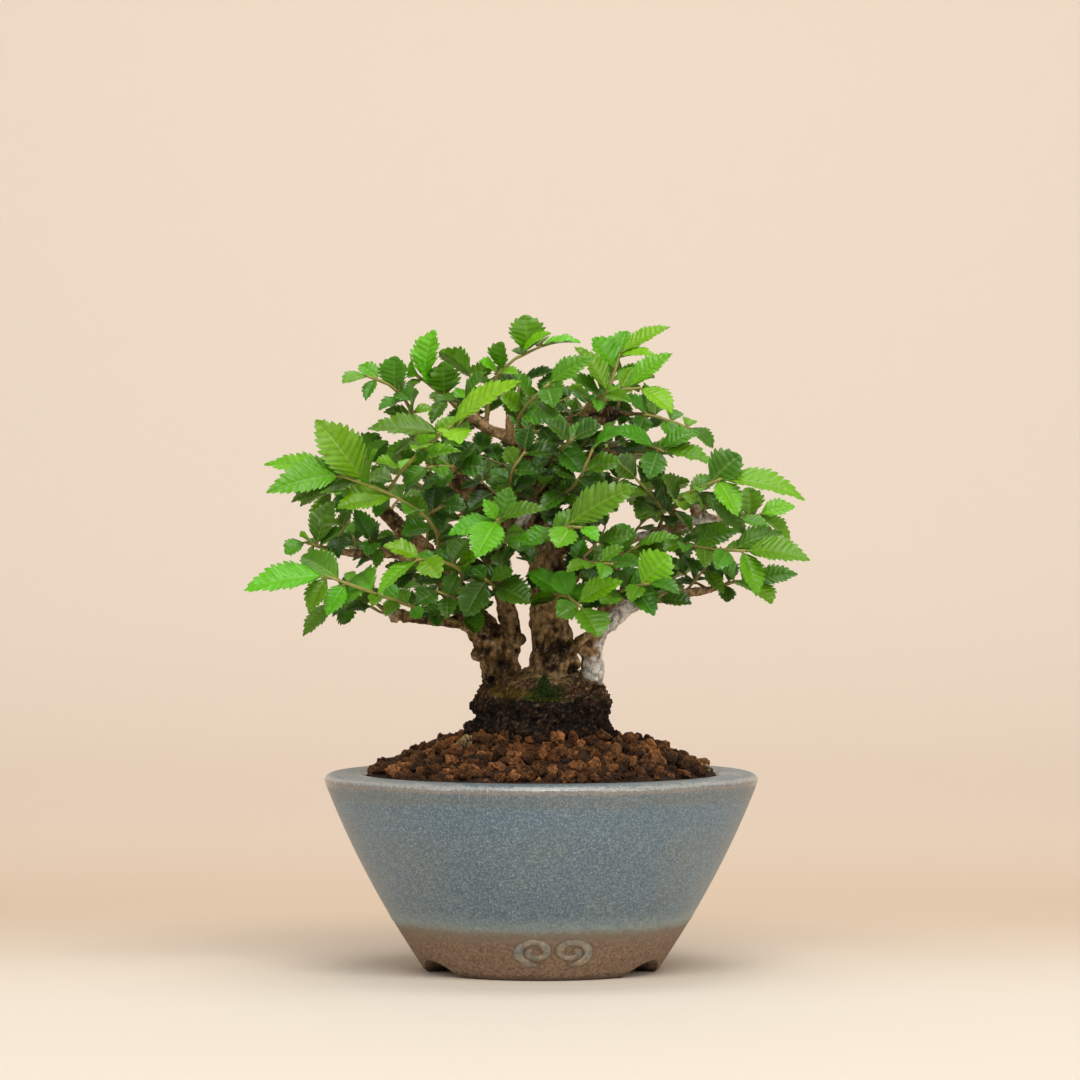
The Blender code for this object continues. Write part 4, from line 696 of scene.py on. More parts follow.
# Where the rim's edge is pale, partly thin glaze and partly a painted highlight
PALE_RIM_AND_HIGHLIGHT_BAND = (0.974, 0.984, 0.994, 1.002)
WARM_BAND = (0.88, 0.92, 0.955)
BLUE_BAND = (0.7, 0.8, 0.86, 0.9)
RIM_GLOSS = (0.935, 0.955, 0.988, 1.0)
GLOSS_HEIGHTS = (FOOT_TOP[1], FOOT_TOP[3], *RIM_GLOSS)
GLOSS_ROUGHNESS = (0.7, 0.36, 0.36, 0.15, 0.15, 0.45)
# How far the glaze's edges wander up and down, in millimetres
EDGE_WOBBLE = 1.8
EDGE_FUZZ = 3.2

# Where a noise is turned into shades: between its usual lowest and highest, in pits, clouds and specks
NOISE_ENDS = (0.3, 0.7)
PIT_STOPS = [(0.36, 0.0), (0.47, 1.0)]
CLOUD_STOPS = (0.3, 0.5, 0.7)
SPECK_STOPS = [(0.34, 1.0), (0.47, 0.0)]
PATCHY_STOPS = [(0.36, 0.1), (0.62, 0.9)]
DOT_CORE = 0.3
CRACK_WARP = 1.1
CRACK_WARP_SCALE = 1.7
# The solids that stay as they are, each with its two colours and its finish
PLAIN_LOOKS = {
    # The soil's very dark colour: partly its own, partly painted shade in the gaps between the granules
    "soil": {
        "name": "soil_dark_and_gap_shade", "low": (0.012, 0.007, 0.005), "high": (0.06, 0.03, 0.016), "roughness": 0.95,
        "scale": 500.0, "detail": 8.0, "specular": 0.2, "relief": (0.8, 0.6),
    },
    "drainage_gravel": {
        "name": "pumice", "low": (0.32, 0.27, 0.2), "high": (0.62, 0.56, 0.45), "roughness": 0.9,
        "scale": 350.0,
    },
    "drain_net": {
        "name": "net", "low": (0.012, 0.012, 0.012), "high": (0.05, 0.05, 0.05), "roughness": 0.5,
        "scale": 900.0,
    },
    "net_wire": {
        "name": "wire", "low": (0.3, 0.2, 0.12), "high": (0.42, 0.3, 0.2), "roughness": 0.38, "scale": 600.0,
        "metallic": 1.0,
    },
}

# Camera, lights and the plain table, in metres
CAMERA_AT = (-0.00033 + 0.0035, -1.2, 0.122)
CAMERA_AIM = (-0.00033 + 0.0035, 0.0, 0.1095)
LENS = 156.9
WARM_LIGHT = (1.0, 0.97, 0.92)
TREE_MIDDLE = (0, 0, 0.1)
# Lights: where, aimed at what, how wide and high, how strong, and the colour
LIGHTS = {
    "key": ((0.1, -0.95, 1.3), TREE_MIDDLE, 1.3, 0.4, 13.5, WARM_LIGHT),
    "fill_left": ((-0.95, -0.7, 0.55), TREE_MIDDLE, 0.5, 0.5, 1.9, WARM_LIGHT),
    "fill_right": ((0.95, -0.7, 0.55), TREE_MIDDLE, 0.5, 0.5, 3.2, WARM_LIGHT),
    "top": ((0.05, 0.1, 1.15), TREE_MIDDLE, 0.6, 0.6, 3.5, (1.0, 0.98, 0.95)),
    "wash": ((0, 0.75, 1.3), (0, 1.35, 0.9), 2.0, 0.3, 4.2, (1.0, 0.97, 0.93)),
}
WORLD_COLOUR = (1.0, 0.98, 0.95, 1)
WORLD_STRENGTH = 0.36
# The table's colours: lighter near the front, darker and warmer at the back of the floor and in the sweep,
# lighter again up the wall, as painted light and shade
PAINTED_LIT_FLOOR_NEAR = (0.77, 0.7, 0.61)
PAINTED_SHADED_FLOOR_FAR = (0.655, 0.505, 0.37)
PAINTED_LIT_WALL_HIGH = (0.89, 0.78, 0.675)
# The table: its front and half width, where the near floor's colour ends, and the sweep up into a wall
TABLE_FRONT = -2.4
TABLE_HALF = 2.6
NEAR_FLOOR = -0.1
FAR_FLOOR = 0.2
SWEEP_START = 0.9
SWEEP_RADIUS = 0.45
SWEEP_STEPS = 16
WALL_TOP = 2.4
# How far the colour has gone from the far floor's painted shade to the wall's painted light, by the way back
# plus twice the height
WALL_STEPS = ((0.2, 0.1), (0.45, 0.45), (0.9, 0.75), (1.36, 0.9), (2.1, 1.0))
WALL_SPAN = 2.5


def clamp(value, low=0, high=1):
    return min(max(value, low), high)


def scatter(rng, reach):
    """A random shift of up to the same reach each way."""
    return Vector([rng.uniform(-reach, reach) for _ in range(3)])


def curve_point(stem, share):
    """The point at a share of the way along the smooth curve through a stem's three points."""
    start, middle, end = stem
    return (start * (2 * (share - 0.5) * (share - 1)) + middle * (4 * share * (1 - share))
            + end * (2 * share * (share - 0.5)))


def blade_profile(share):
    """A blade's half width, as a share of the widest, at a share of its length: widest past the middle."""
    return math.sin(math.pi * share ** BLADE_LEAN) ** BLADE_FULLNESS


class Leaf:
    """One leaf: its root on the stem, its tip, its width and the way its face looks."""

    def __init__(self, root, tip, width, face):
        self.root = root
        self.along = (tip - root).normalized()
        self.length = (tip - root).length
        self.half = min(width / 2, self.length * WIDEST_HALF)
        face = face - self.along * face.dot(self.along)
        self.face = face.normalized()
        self.side = self.face.cross(self.along).normalized()

    def point(self, share, across, lift=0.0):
        """A point at a share of the length, across in half widths, lifted off the blade in millimetres."""
        bow = ARCH * self.length * 4 * share * (1 - share)
        fold = FOLD * self.half * abs(across)
        return (self.root + self.along * (self.length * share) + self.side * (self.half * across)
                + self.face * (bow + fold + lift))


def proxy(leaf, first):
    """A plain closed slab round a leaf from a share of its length on, for keeping others clear."""
    swell = 1 + CLEAR / leaf.half
    rows = [(first, PROXY_NECK), *PROXY_ROWS]
    vertices = []
    for lift in (-BLADE_THICK / 2 - CLEAR, BLADE_THICK / 2 + CLEAR):
        for share, across in rows:
            for sign in (-1, 0, 1):
                rise = lift if sign == 0 else lift * THIN_EDGE
                vertices.append(leaf.point(share, sign * across * swell, rise))
        vertices.append(leaf.point(1 + CLEAR / leaf.length, 0, lift * THIN_EDGE))
    sheet = len(vertices) // 2
    loop = [0, 3, 6, 9, 8, 5, 2, 1]
    faces = []
    for offset in (0, sheet):
        for row in (0, 3):
            for column in (0, 1):
                a = offset + row + column
                faces += [(a, a + 1, a + 4), (a, a + 4, a + 3)]
        faces += [(offset + 6, offset + 7, offset + 9), (offset + 7, offset + 8, offset + 9)]
    for a, b in zip(loop, loop[1:] + loop[:1]):
        faces += [(a, b, b + sheet), (a, b + sheet, a + sheet)]
    return BVHTree.FromPolygons(vertices, faces)


def ring_faces(rows, sides, closed=False):
    """The four-sided faces between rings of points, and back to the first ring if closed."""
    faces = []
    for row in range(rows if closed else rows - 1):
        near = row * sides
        far = (row + 1) % rows * sides
        for k in range(sides):
            after = (k + 1) % sides
            faces.append((near + k, near + after, far + after, far + k))
    return faces


def end_faces(rows, sides):
    """The faces that close a tube of rings at its first and last ring."""
    return [tuple(reversed(range(sides))), tuple(range((rows - 1) * sides, rows * sides))]


def turned_faces(rows, sides):
    """The faces of a closed tube whose rings run the other way round."""
    ends = [tuple(reversed(face)) for face in end_faces(rows, sides)]
    return ends + [(a, d, c, b) for a, b, c, d in ring_faces(rows, sides)]


def tube_mesh(points, radii, sides, turn=0.0):
    """Vertices and faces of a closed tube along points."""
    vertices = []
    normal = None
    for i, point in enumerate(points):
        ahead = points[min(i + 1, len(points) - 1)] - points[max(i - 1, 0)]
        ahead.normalize()
        if normal is None:
            normal = ahead.orthogonal().normalized()
        normal = (normal - ahead * normal.dot(ahead)).normalized()
        across = ahead.cross(normal)
        for k in range(sides):
            angle = turn + 2 * math.pi * k / sides
            vertices.append(point + (normal * math.cos(angle) + across * math.sin(angle)) * radii[i])
    return vertices, ring_faces(len(points), sides) + end_faces(len(points), sides)


def tube_proxy(points, radii, sides=PROXY_SIDES):
    """The same tube, a little fatter, for keeping others clear."""
    vertices, faces = tube_mesh(points, [radius + CLEAR for radius in radii], sides)
    return BVHTree.FromPolygons(vertices, faces)


def limb_parts(limb):
    """A limb's points and radii."""
    return [Vector(p[:3]) for p in limb], [p[3] for p in limb]


def limb_spans():
    """Each straight piece of the limbs' centre lines: its limb, start, way, radius and change of radius."""
    spans = []
    for name, limb in LIMBS.items():
        points, radii = limb_parts(limb)
        for a, b, first, second in zip(points, points[1:], radii, radii[1:]):
            spans.append((name, a, b - a, first, second - first))
    return spans


SPANS = limb_spans()


def near_wood(point):
    """For each straight piece of the limbs: its limb, its nearest point and its radius there."""
    for name, start, way, radius, change in SPANS:
        share = clamp((point - start).dot(way) / way.length_squared)
        yield name, start + way * share, radius + change * share


def nearest_wood(point):
    """The nearest point on a limb's centre line, and the limb's radius there."""
    return min(near_wood(point), key=lambda found: (found[1] - point).length)[1:]


def nearest_limb(point):
    """Which limb a point lies on, and how far out of the limb's plain round."""
    limbs = ((name, (centre - point).length - radius) for name, centre, radius in near_wood(point))
    return min(limbs, key=lambda found: found[1])


def facing(point, rng):
    """Which way a leaf's face looks: up, outward, and to the front or the back."""
    outward = Vector((point.x, point.y, 0))
    outward = outward / max(outward.length, 1)
    front = Vector((0, LOOK_FRONT if point.y < FRONT_LINE else LOOK_BACK, 0))
    wander = Vector([rng.uniform(-reach, reach) for reach in WANDER])
    return Vector((0, 0, LOOK_UP)) + outward * LOOK_OUT + front + wander


def stem_way(stem, share):
    """The way that a stem runs at a share of its length."""
    return (curve_point(stem, min(share + WAY_STEP, 1)) - curve_point(stem, share - WAY_STEP)).normalized()


def rear_leaves(stem, count, longest, rng):
    """Leaves in two ranks along a stem, growing towards its end, as the tables give them."""
    leaves = []
    for k in range(count):
        share = FIRST_LEAF + (1 - FIRST_LEAF) * k / (count - 1)
        root = curve_point(stem, share)
        ahead = stem_way(stem, share)
        side = facing(root, rng).cross(ahead).normalized()
        turn = math.radians(rng.uniform(*SPREAD)) * (-1 if k % 2 else 1)
        if k == count - 1:
            turn = math.radians(rng.uniform(-END_SPREAD, END_SPREAD))
        length = longest * (LEAF_GROWTH + (1 - LEAF_GROWTH) * share) * rng.uniform(*REAR_LENGTH)
        tip = root + (ahead * math.cos(turn) + side * math.sin(turn)) * length
        leaves.append((share, tip.x, tip.y, tip.z, length * rng.uniform(*REAR_WIDTH)))
    return leaves


class Shoot:
    """A stem with its leaves, and the stub of wood that it stands on."""

    def __init__(self, stub, stem):
        self.stub = stub
        self.stem = stem
        self.leaves = []

    def root(self, share):
        """The point at a share of the way along the stem's straight pieces."""
        at = min(share, LAST_ROOT) * STEM_STEPS
        piece = int(at)
        start = curve_point(self.stem, piece / STEM_STEPS)
        return start.lerp(curve_point(self.stem, (piece + 1) / STEM_STEPS), at - piece)

    def stem_points(self):
        points = [curve_point(self.stem, k / STEM_STEPS) for k in range(STEM_STEPS + 1)]
        taper = STEM_TIP_RADIUS - STEM_RADIUS
        radii = [STEM_RADIUS + taper * k / STEM_STEPS for k in range(STEM_STEPS + 1)]
        return points, radii


def meets(body, others):
    return any(body.overlap(other) for other in others)


def place_stem(anchors, taken, rng):
    """A shoot whose stem starts on the end of its stub and passes clear of what is there."""
    base, middle, tip = (Vector(p) for p in anchors)
    base, radius = nearest_wood(base)
    reach = radius + STUB_REACH
    for attempt in range(TRIES):
        spread = 0.0 if attempt == 0 else 1.0 + attempt * STEM_SPREAD
        shift = scatter(rng, spread)
        aim = (middle + shift - base).normalized()
        start = base + aim * (reach + GAP)
        shoot = Shoot((base, base + aim * reach), None)
        near = (middle - base).length < reach + SHORT_STEM
        shoot.stem = (start, (start + tip) / 2 if near else middle + shift, tip)
        points, radii = shoot.stem_points()
        body = tube_proxy([points[0].lerp(points[1], PAST_STUB)] + points[1:], radii)
        if not meets(body, taken):
            break
    return shoot


def clear_of(leaf, others, own):
    """A leaf's whole slab and its blade's, or None where they would meet the others or its own shoot."""
    whole = proxy(leaf, NECK)
    blade = proxy(leaf, BLADE_START)
    if meets(whole, others) or meets(blade, own):
        return None
    return whole, blade


def grow():
    """All the shoots, each with its leaves set clear of the wood, the other stems and the other leaves."""
    rng = random.Random(SEED)
    taken = []
    for limb in LIMBS.values():
        points, radii = limb_parts(limb)
        taken.append(tube_proxy(points, [radius * BARK_ROOM for radius in radii]))
    shoots = {}
    wanted = {}
    for name, (anchors, leaves) in SHOOTS.items():
        shoots[name] = place_stem(anchors, taken, rng)
        wanted[name] = leaves
    for name, (anchors, count, longest) in REAR_SHOOTS.items():
        shoots[name] = place_stem(anchors, taken, rng)
        wanted[name] = rear_leaves(shoots[name].stem, count, longest, rng)
    stems = {}
    for name, shoot in shoots.items():
        stems[name] = tube_proxy(*shoot.stem_points())
        taken.append(tube_proxy(list(shoot.stub), [STUB_RADIUS, STUB_RADIUS]))
    for number, (name, shoot) in enumerate(shoots.items()):
        rng = random.Random(SEED + number)
        others = taken + [body for key, body in stems.items() if key != name]
        own = [stems[name]]
        for share, x, y, z, width in wanted[name]:
            root = shoot.root(share)
            aim = Vector((x, y, z))
            for attempt in range(TRIES):
                shift = scatter(rng, 1) * attempt * SHIFT
                shift.y *= SHIFT_DEPTH
                shrink = 1 - SHRINK * attempt
                tip = root + (aim + shift - root) * shrink
                leaf = Leaf(root, tip, width * WIDEN * shrink, facing(root, rng))
                room = clear_of(leaf, others, own)
                if room is None:
                    continue
                shoot.leaves.append(leaf)
                taken.append(room[0])
                own.append(room[1])
                break
    return shoots, taken


def outer_radius(height):
    share = height / RIM_HEIGHT
    return FOOT_RADIUS + (RIM_RADIUS - FOOT_RADIUS) * share + 4 * BELLY * share * (1 - share)


def inner_radius(height):
    return outer_radius(height) - WALL


def mound_height(x, y):
    """The soil's height under its granules: a low mound round the root base, down to the lip."""
    u = (x - BASE_X) / BASE_HALF_X
    v = y / BASE_HALF_Y
    beside = max(math.hypot(u, v) - 1, 0)
    radius = math.hypot(x, y)
    edge = LIP_INNER_RADIUS - GAP
    near = beside * (BASE_HALF_X + BASE_HALF_Y) / 2
    share = near / max(near + edge - radius, 0.01)
    return SOIL_PEAK + (SOIL_EDGE - SOIL_PEAK) * clamp(share) ** MOUND_CURVE


# Making pieces

def place(point):
    """Millimetres from the pot's axis to the scene's metres."""
    return ((point[0] + POT_AXIS_X) * MM, point[1] * MM, point[2] * MM)


def blend(first, second, share):
    return tuple(a + (b - a) * share for a, b in zip(first, second))


def add_object(name, data):
    item = bpy.data.objects.new(name, data)
    bpy.context.scene.collection.objects.link(item)
    return item


def add_body(bm, vertices, faces):
    made = [bm.verts.new(place(v)) for v in vertices]
    for face in faces:
        bm.faces.new([made[i] for i in face])


def mesh_from(bm, name):
    mesh = bpy.data.meshes.new(name)
    bm.to_mesh(mesh)
    bm.free()
    return mesh


def modified_mesh(item):
    """A new mesh with the item's modifiers applied."""
    view = bpy.context.evaluated_depsgraph_get()
    return bpy.data.meshes.new_from_object(item.evaluated_get(view))


def set_tints(mesh, tints):
    """Gives each point the colour that its material reads."""
    values = np.ones((len(mesh.vertices), 4), np.float32)
    values[:, :3] = np.asarray(tints, np.float32)
    layer = mesh.color_attributes.new("tint", "FLOAT_COLOR", "POINT")
    layer.data.foreach_set("color", values.ravel())


def smooth_all(mesh, smooth=True):
    mesh.polygons.foreach_set("use_smooth", [smooth] * len(mesh.polygons))


class Mesh:
    """Points, faces, tints and material numbers gathered for one piece."""

    def __init__(self):
        self.vertices = []
        self.faces = []
        self.tints = []
        self.which = []
        self.sharp = []

    def add(self, vertices, faces, tint=None, which=0):
        """Adds a body of no tint, of one tint, or with a tint for each point."""
        first = len(self.vertices)
        self.vertices += vertices
        if tint is not None:
            self.tints += tint if isinstance(tint, list) else [tint] * len(vertices)
        self.faces += [tuple(first + i for i in face) for face in faces]
        self.which += [which] * len(faces)

    def piece(self, name, materials, slot, smooth=True):
        """The shown piece, which rides on the root."""
        mesh = bpy.data.meshes.new(name)
        mesh.from_pydata([place(v) for v in self.vertices], [], self.faces)
        mesh.update()
        if self.tints:
            set_tints(mesh, self.tints)
        for material in materials:
            mesh.materials.append(material)
        mesh.polygons.foreach_set("material_index", self.which)
        smooth_all(mesh, smooth)
        edges = {tuple(sorted(pair)) for pair in self.sharp}
        if edges:
            for edge in mesh.edges:
                if tuple(sorted(edge.vertices)) in edges:
                    edge.use_edge_sharp = True
        item = add_object(name, mesh)
        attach(item, "root")
        return item


# Materials

class Surface:
    """A material in the making: its shader's sockets, and short ways to add nodes and join them."""

    def __init__(self, name, roughness, specular=0.5, metallic=0.0):
        self.material = bpy.data.materials.new(name)
        self.material.use_nodes = True
        self.tree = self.material.node_tree
        self.shader = self.tree.nodes["Principled BSDF"].inputs
        self.shader["Roughness"].default_value = roughness
        self.shader["Specular IOR Level"].default_value = specular
        self.shader["Metallic"].default_value = metallic

    def node(self, kind, **values):
        """A new node, with its sockets or settings set by name."""
        made = self.tree.nodes.new(kind)
        for key, value in values.items():
            if key in made.inputs:
                made.inputs[key].default_value = value
            else:
                setattr(made, key, value)
        return made

    def join(self, source, target):
        """Feeds a socket from another one, or sets it to a plain number or colour."""
        if isinstance(source, bpy.types.NodeSocket):
            self.tree.links.new(source, target)
        else:
            target.default_value = (*source, 1) if isinstance(source, tuple) else source

    def maths(self, operation, *values):
        """The result of a sum on sockets and numbers."""
        made = self.node("ShaderNodeMath", operation=operation)
        for value, socket in zip(values, made.inputs):
            self.join(value, socket)
        return made.outputs[0]

    def mixed(self, factor, first, second, way="MIX"):
        """A colour between two others, by a factor."""
        made = self.node("ShaderNodeMix", data_type="RGBA", blend_type=way)
        for value, socket in ((factor, "Factor"), (first, 6), (second, 7)):
            self.join(value, made.inputs[socket])
        return made.outputs[2]

    def where(self):
        """The point on the piece, in its own metres."""
        return self.node("ShaderNodeTexCoord").outputs["Object"]

    def axes(self):
        """The same point's X, Y and Z."""
        parts = self.node("ShaderNodeSeparateXYZ")
        self.join(self.where(), parts.inputs["Vector"])
        return parts.outputs

    def stretched(self, point, stretch):
        made = self.node("ShaderNodeMapping", Scale=stretch)
        self.join(point, made.inputs["Vector"])
        return made.outputs["Vector"]

    def noise(self, scale, detail=4.0, roughness=0.6, stretch=None, output="Fac"):
        """A noise over the piece, stretched if asked."""
        point = self.where()
        if stretch is not None:
            point = self.stretched(point, stretch)
        made = self.node("ShaderNodeTexNoise", Scale=scale, Detail=detail, Roughness=roughness)
        self.join(point, made.inputs["Vector"])
        return made.outputs[output]

    def ramp(self, factor, stops):
        """A grey or a colour for each factor, between stops."""
        made = self.node("ShaderNodeValToRGB")
        elements = made.color_ramp.elements
        while len(elements) < len(stops):
            elements.new(0.5)
        for element, (at, value) in zip(elements, stops):
            element.position = at
            element.color = (value, value, value, 1) if isinstance(value, float) else (*value, 1)
        self.join(factor, made.inputs["Fac"])
        return made.outputs["Color"]

    def dots(self, scale, reach, share):
        """Round dots of uneven brightness, at most one in each cell, as a mask from 0 to 1."""
        cells = self.node("ShaderNodeTexVoronoi", Scale=scale)
        self.join(self.where(), cells.inputs["Vector"])
        near = self.ramp(cells.outputs["Distance"], [(reach * DOT_CORE, 1.0), (reach, 0.0)])
        parts = self.node("ShaderNodeSeparateColor")
        self.join(cells.outputs["Color"], parts.inputs["Color"])
        chance = self.ramp(parts.outputs["Red"], [(1.0 - share, 0.0), (1.0, 1.0)])
        return self.maths("MULTIPLY", near, chance)

    def cracks(self, scale, width, stretch):
        """A net of uneven cracks: dark lines between cells, as a mask from 0 in a crack to 1."""
        shift = self.node("ShaderNodeVectorMath", operation="MULTIPLY_ADD")
        self.join(self.noise(scale * CRACK_WARP_SCALE, output="Color"), shift.inputs[0])
        shift.inputs[1].default_value = (CRACK_WARP / scale, CRACK_WARP / scale, CRACK_WARP / scale)
        self.join(self.where(), shift.inputs[2])
        cells = self.node("ShaderNodeTexVoronoi", feature="DISTANCE_TO_EDGE", Scale=scale)
        self.join(self.stretched(shift.outputs["Vector"], stretch), cells.inputs["Vector"])
        return self.ramp(cells.outputs["Distance"], [(0.0, 0.0), (width, 1.0)])

    def colour(self, source):
        self.join(source, self.shader["Base Color"])

    def darken(self, mask, strength):
        """Multiplies the colour by a mask, with its dark part lifted."""
        lifted = self.node("ShaderNodeMapRange")
        lifted.inputs["To Min"].default_value = 1.0 - strength
        self.join(mask, lifted.inputs["Value"])
        before = self.shader["Base Color"].links[0].from_socket
        self.colour(self.mixed(1.0, before, lifted.outputs["Result"], "MULTIPLY"))

    def relief(self, *layers):
        """Raises the surface by layers, each with its height, its strength and its reach in millimetres."""
        normal = None
        for height, strength, reach in layers:
            made = self.node("ShaderNodeBump", Strength=strength, Distance=reach * MM)
            self.join(height, made.inputs["Height"])
            if normal is not None:
                self.join(normal, made.inputs["Normal"])
            normal = made.outputs["Normal"]
        self.join(normal, self.shader["Normal"])


def tinted_surface(name, roughness, spread, scale, detail=5.0, specular=0.5):
    """A surface whose colour is the piece's tint, made lighter and darker by a noise."""
    surface = Surface(name, roughness, specular)
    tint = surface.node("ShaderNodeVertexColor", layer_name="tint").outputs["Color"]
    low, high = NOISE_ENDS
    shade = surface.ramp(surface.noise(scale, detail), [(low, 1.0 - spread), (high, 1.0 + spread)])
    surface.colour(surface.mixed(1.0, tint, shade, "MULTIPLY"))
    return surface


def mottled_material(name, low, high, roughness, scale, detail=5.0, specular=0.5, metallic=0.0,
                     relief=(0.3, 0.2)):
    """Two mottled colours with a little relief, for what is inside or under the pot."""
    surface = Surface(name, roughness, specular, metallic)
    texture = surface.noise(scale, detail)
    surface.colour(surface.ramp(texture, list(zip(NOISE_ENDS, (low, high)))))
    surface.relief((texture, *relief))
    return surface.material


def leaf_material():
    surface = tinted_surface("leaf", roughness=0.34, spread=0.16, scale=900.0, specular=0.34)
    surface.relief((surface.noise(scale=2600.0, detail=3.0), 0.25, 0.1))
    return surface.material


def stem_material():
    surface = tinted_surface("stem", roughness=0.5, spread=0.2, scale=700.0)
    surface.relief((surface.noise(scale=1800.0, detail=3.0), 0.3, 0.12))
    return surface.material


def bark_material():
    """Rough bark with pits and a net of cracks, all stretched along the trunks."""
    surface = tinted_surface("bark", roughness=0.85, spread=0.6, scale=650.0, detail=8.0, specular=0.15)
    coarse = surface.noise(scale=330.0, detail=8.0, roughness=0.7, stretch=(1, 1, 0.45))
    fine = surface.noise(scale=1500.0, detail=6.0, roughness=0.7)
    pits = surface.ramp(surface.noise(scale=700.0, detail=6.0, roughness=0.7, stretch=(1, 1, 0.5)), PIT_STOPS)
    surface.darken(pits, 0.5)
    surface.darken(surface.cracks(scale=260.0, width=0.05, stretch=(1, 1, 0.25)), 0.35)
    surface.relief((coarse, 0.8, 0.8), (fine, 0.7, 0.3), (pits, 0.6, 0.4))
    return surface.material


def granule_material():
    """Crumbly fired clay with dark pores."""
    surface = tinted_surface("clay_granules", 0.65, spread=0.6, scale=1300.0, detail=8.0, specular=0.3)
    surface.darken(surface.ramp(surface.noise(scale=1500.0, detail=6.0, roughness=0.7), PIT_STOPS), 0.6)
    surface.relief((surface.noise(scale=1700.0, detail=8.0, roughness=0.75), 1.0, 0.8))
    return surface.material


def moss_material():
    return tinted_surface("moss", roughness=0.75, spread=0.3, scale=1200.0).material


def slip_material():
    surface = tinted_surface("slip", roughness=0.55, spread=0.45, scale=700.0)
    surface.relief((surface.noise(scale=1500.0), 0.4, 0.3))
    return surface.material


# Leaves

def fine_profile(leaf, share):
    """A blade's half width at a share of its length; long leaves taper more to their tips."""
    slim = clamp((leaf.length / leaf.half / 2 - SLIM_FROM) * SLIM_RATE)
    pointed = math.sin(math.pi * min(share, 1) ** SLIM_LEAN) ** SLIM_FULLNESS
    return blade_profile(share) * (1 - slim) + pointed * slim


def fine_blade(mesh, leaf, tint, vein_count, columns, rng):
    """A thin blade with side veins that end in teeth, quilted between them, with a rib and a petiole."""
    rows = [(vein + at, out, ahead, at) for vein in range(vein_count) for at, out, ahead in TOOTH_ROWS][1:]
    bend = rng.uniform(*BLADE_BEND) * leaf.length
    ripple = rng.uniform(*BLADE_RIPPLE) * leaf.half
    start = rng.uniform(0, FULL_TURN)
    quilt = QUILT * min(1, leaf.length / QUILT_LENGTH)
    spacing = (1 - FINE_START) / vein_count
    top = {}
    under = {}
    vertices = []
    tints = []

    def add(share, across, lift, colour):
        vertices.append(leaf.point(share, across, lift - bend * share * share))
        tints.append(colour)
        return len(vertices) - 1

    vein, rib, edge, dark, pale = (blend(tint, colour, share) for colour, share in LEAF_MARKS)
    base = add(FINE_START, 0, 0, rib)
    tip = add(1, 0, 0, vein)
    last = len(columns) - 1
    final = len(rows) - 1
    for sign in (1, -1):
        for row, (at, out, ahead, phase) in enumerate(rows):
            margin = FINE_START + spacing * at
            width = fine_profile(leaf, at / vein_count) * out
            inner = FINE_START + max(0, margin - FINE_START - VEIN_SLANT) * (1 - FINE_START) / (
                1 - FINE_START - VEIN_SLANT)
            for column, a in enumerate(columns):
                if column == 0 and sign == -1:
                    top[sign, row, 0] = top[1, row, 0]
                    under[sign, row, 0] = under[1, row, 0]
                    continue
                share = inner + (margin + ahead * spacing * a * a - inner) * a
                swell = quilt * math.sin(math.pi * phase) * math.sin(math.pi * min(a, NEAR_EDGE)) ** 0.5
                wave = ripple * math.sin(start + at * RIPPLE_RATE + sign) * a * a
                groove = -RIB_GROOVE * (1 - share) if column == 0 else 0
                on_vein = phase == 0 and a < VEIN_END
                shade = rib if column == 0 else vein if on_vein else edge if a == 1 else tint
                # Painted shade: the rows just beside each side vein, where the blade dips, are darker
                if shade is tint and phase == TOOTH_ROWS[1][0]:
                    shade = dark
                top[sign, row, column] = add(share, sign * a * width, swell + wave + groove, shade)
                if column < last:
                    ridge = RIB_RIDGE * (1 - share) + RIDGE_LEAST if column == 0 else 0
                    lift = swell * UNDER_SWELL + wave - FINE_THICK - ridge
                    under[sign, row, column] = add(share, sign * a * width, lift, pale)
                else:
                    under[sign, row, column] = top[sign, row, column]
    faces = []
    for sign in (1, -1):
        for sheet, flip in ((top, False), (under, True)):
            corners = []
            for column in range(last):
                corners.append([base, sheet[sign, 0, column], sheet[sign, 0, column + 1]])
                for row in range(final):
                    corners.append([sheet[sign, row, column], sheet[sign, row + 1, column],
                                    sheet[sign, row + 1, column + 1], sheet[sign, row, column + 1]])
                corners.append([sheet[sign, final, column], tip, sheet[sign, final, column + 1]])
            turned = flip != (sign == -1)
            faces += corners if turned else [corner[::-1] for corner in corners]
    first = len(mesh.vertices)
    for sign in (1, -1):
        margin_loop = [base] + [top[sign, row, last] for row in range(len(rows))] + [tip]
        mesh.sharp += [(first + a, first + b) for a, b in zip(margin_loop, margin_loop[1:])]
    faces = [tuple(dict.fromkeys(face)) for face in faces]
    mesh.add(vertices, [face for face in faces if len(face) > 2], tints, 0)
    points = [leaf.point(share, 0, -FINE_THICK * drop) for share, drop, _ in PETIOLE_ROWS]
    tube, tube_faces = tube_mesh(points, [radius for _, _, radius in PETIOLE_ROWS], PETIOLE_SIDES)
    mesh.add(tube, tube_faces, blend(STEM_YOUNG, tint, PETIOLE_GREEN), 1)


def vein_plan(leaf):
    """How many side veins a leaf shows, and how finely it is drawn."""
    for longer_than, count, columns in VEIN_PLANS:
        if leaf.length > longer_than:
            return count, columns


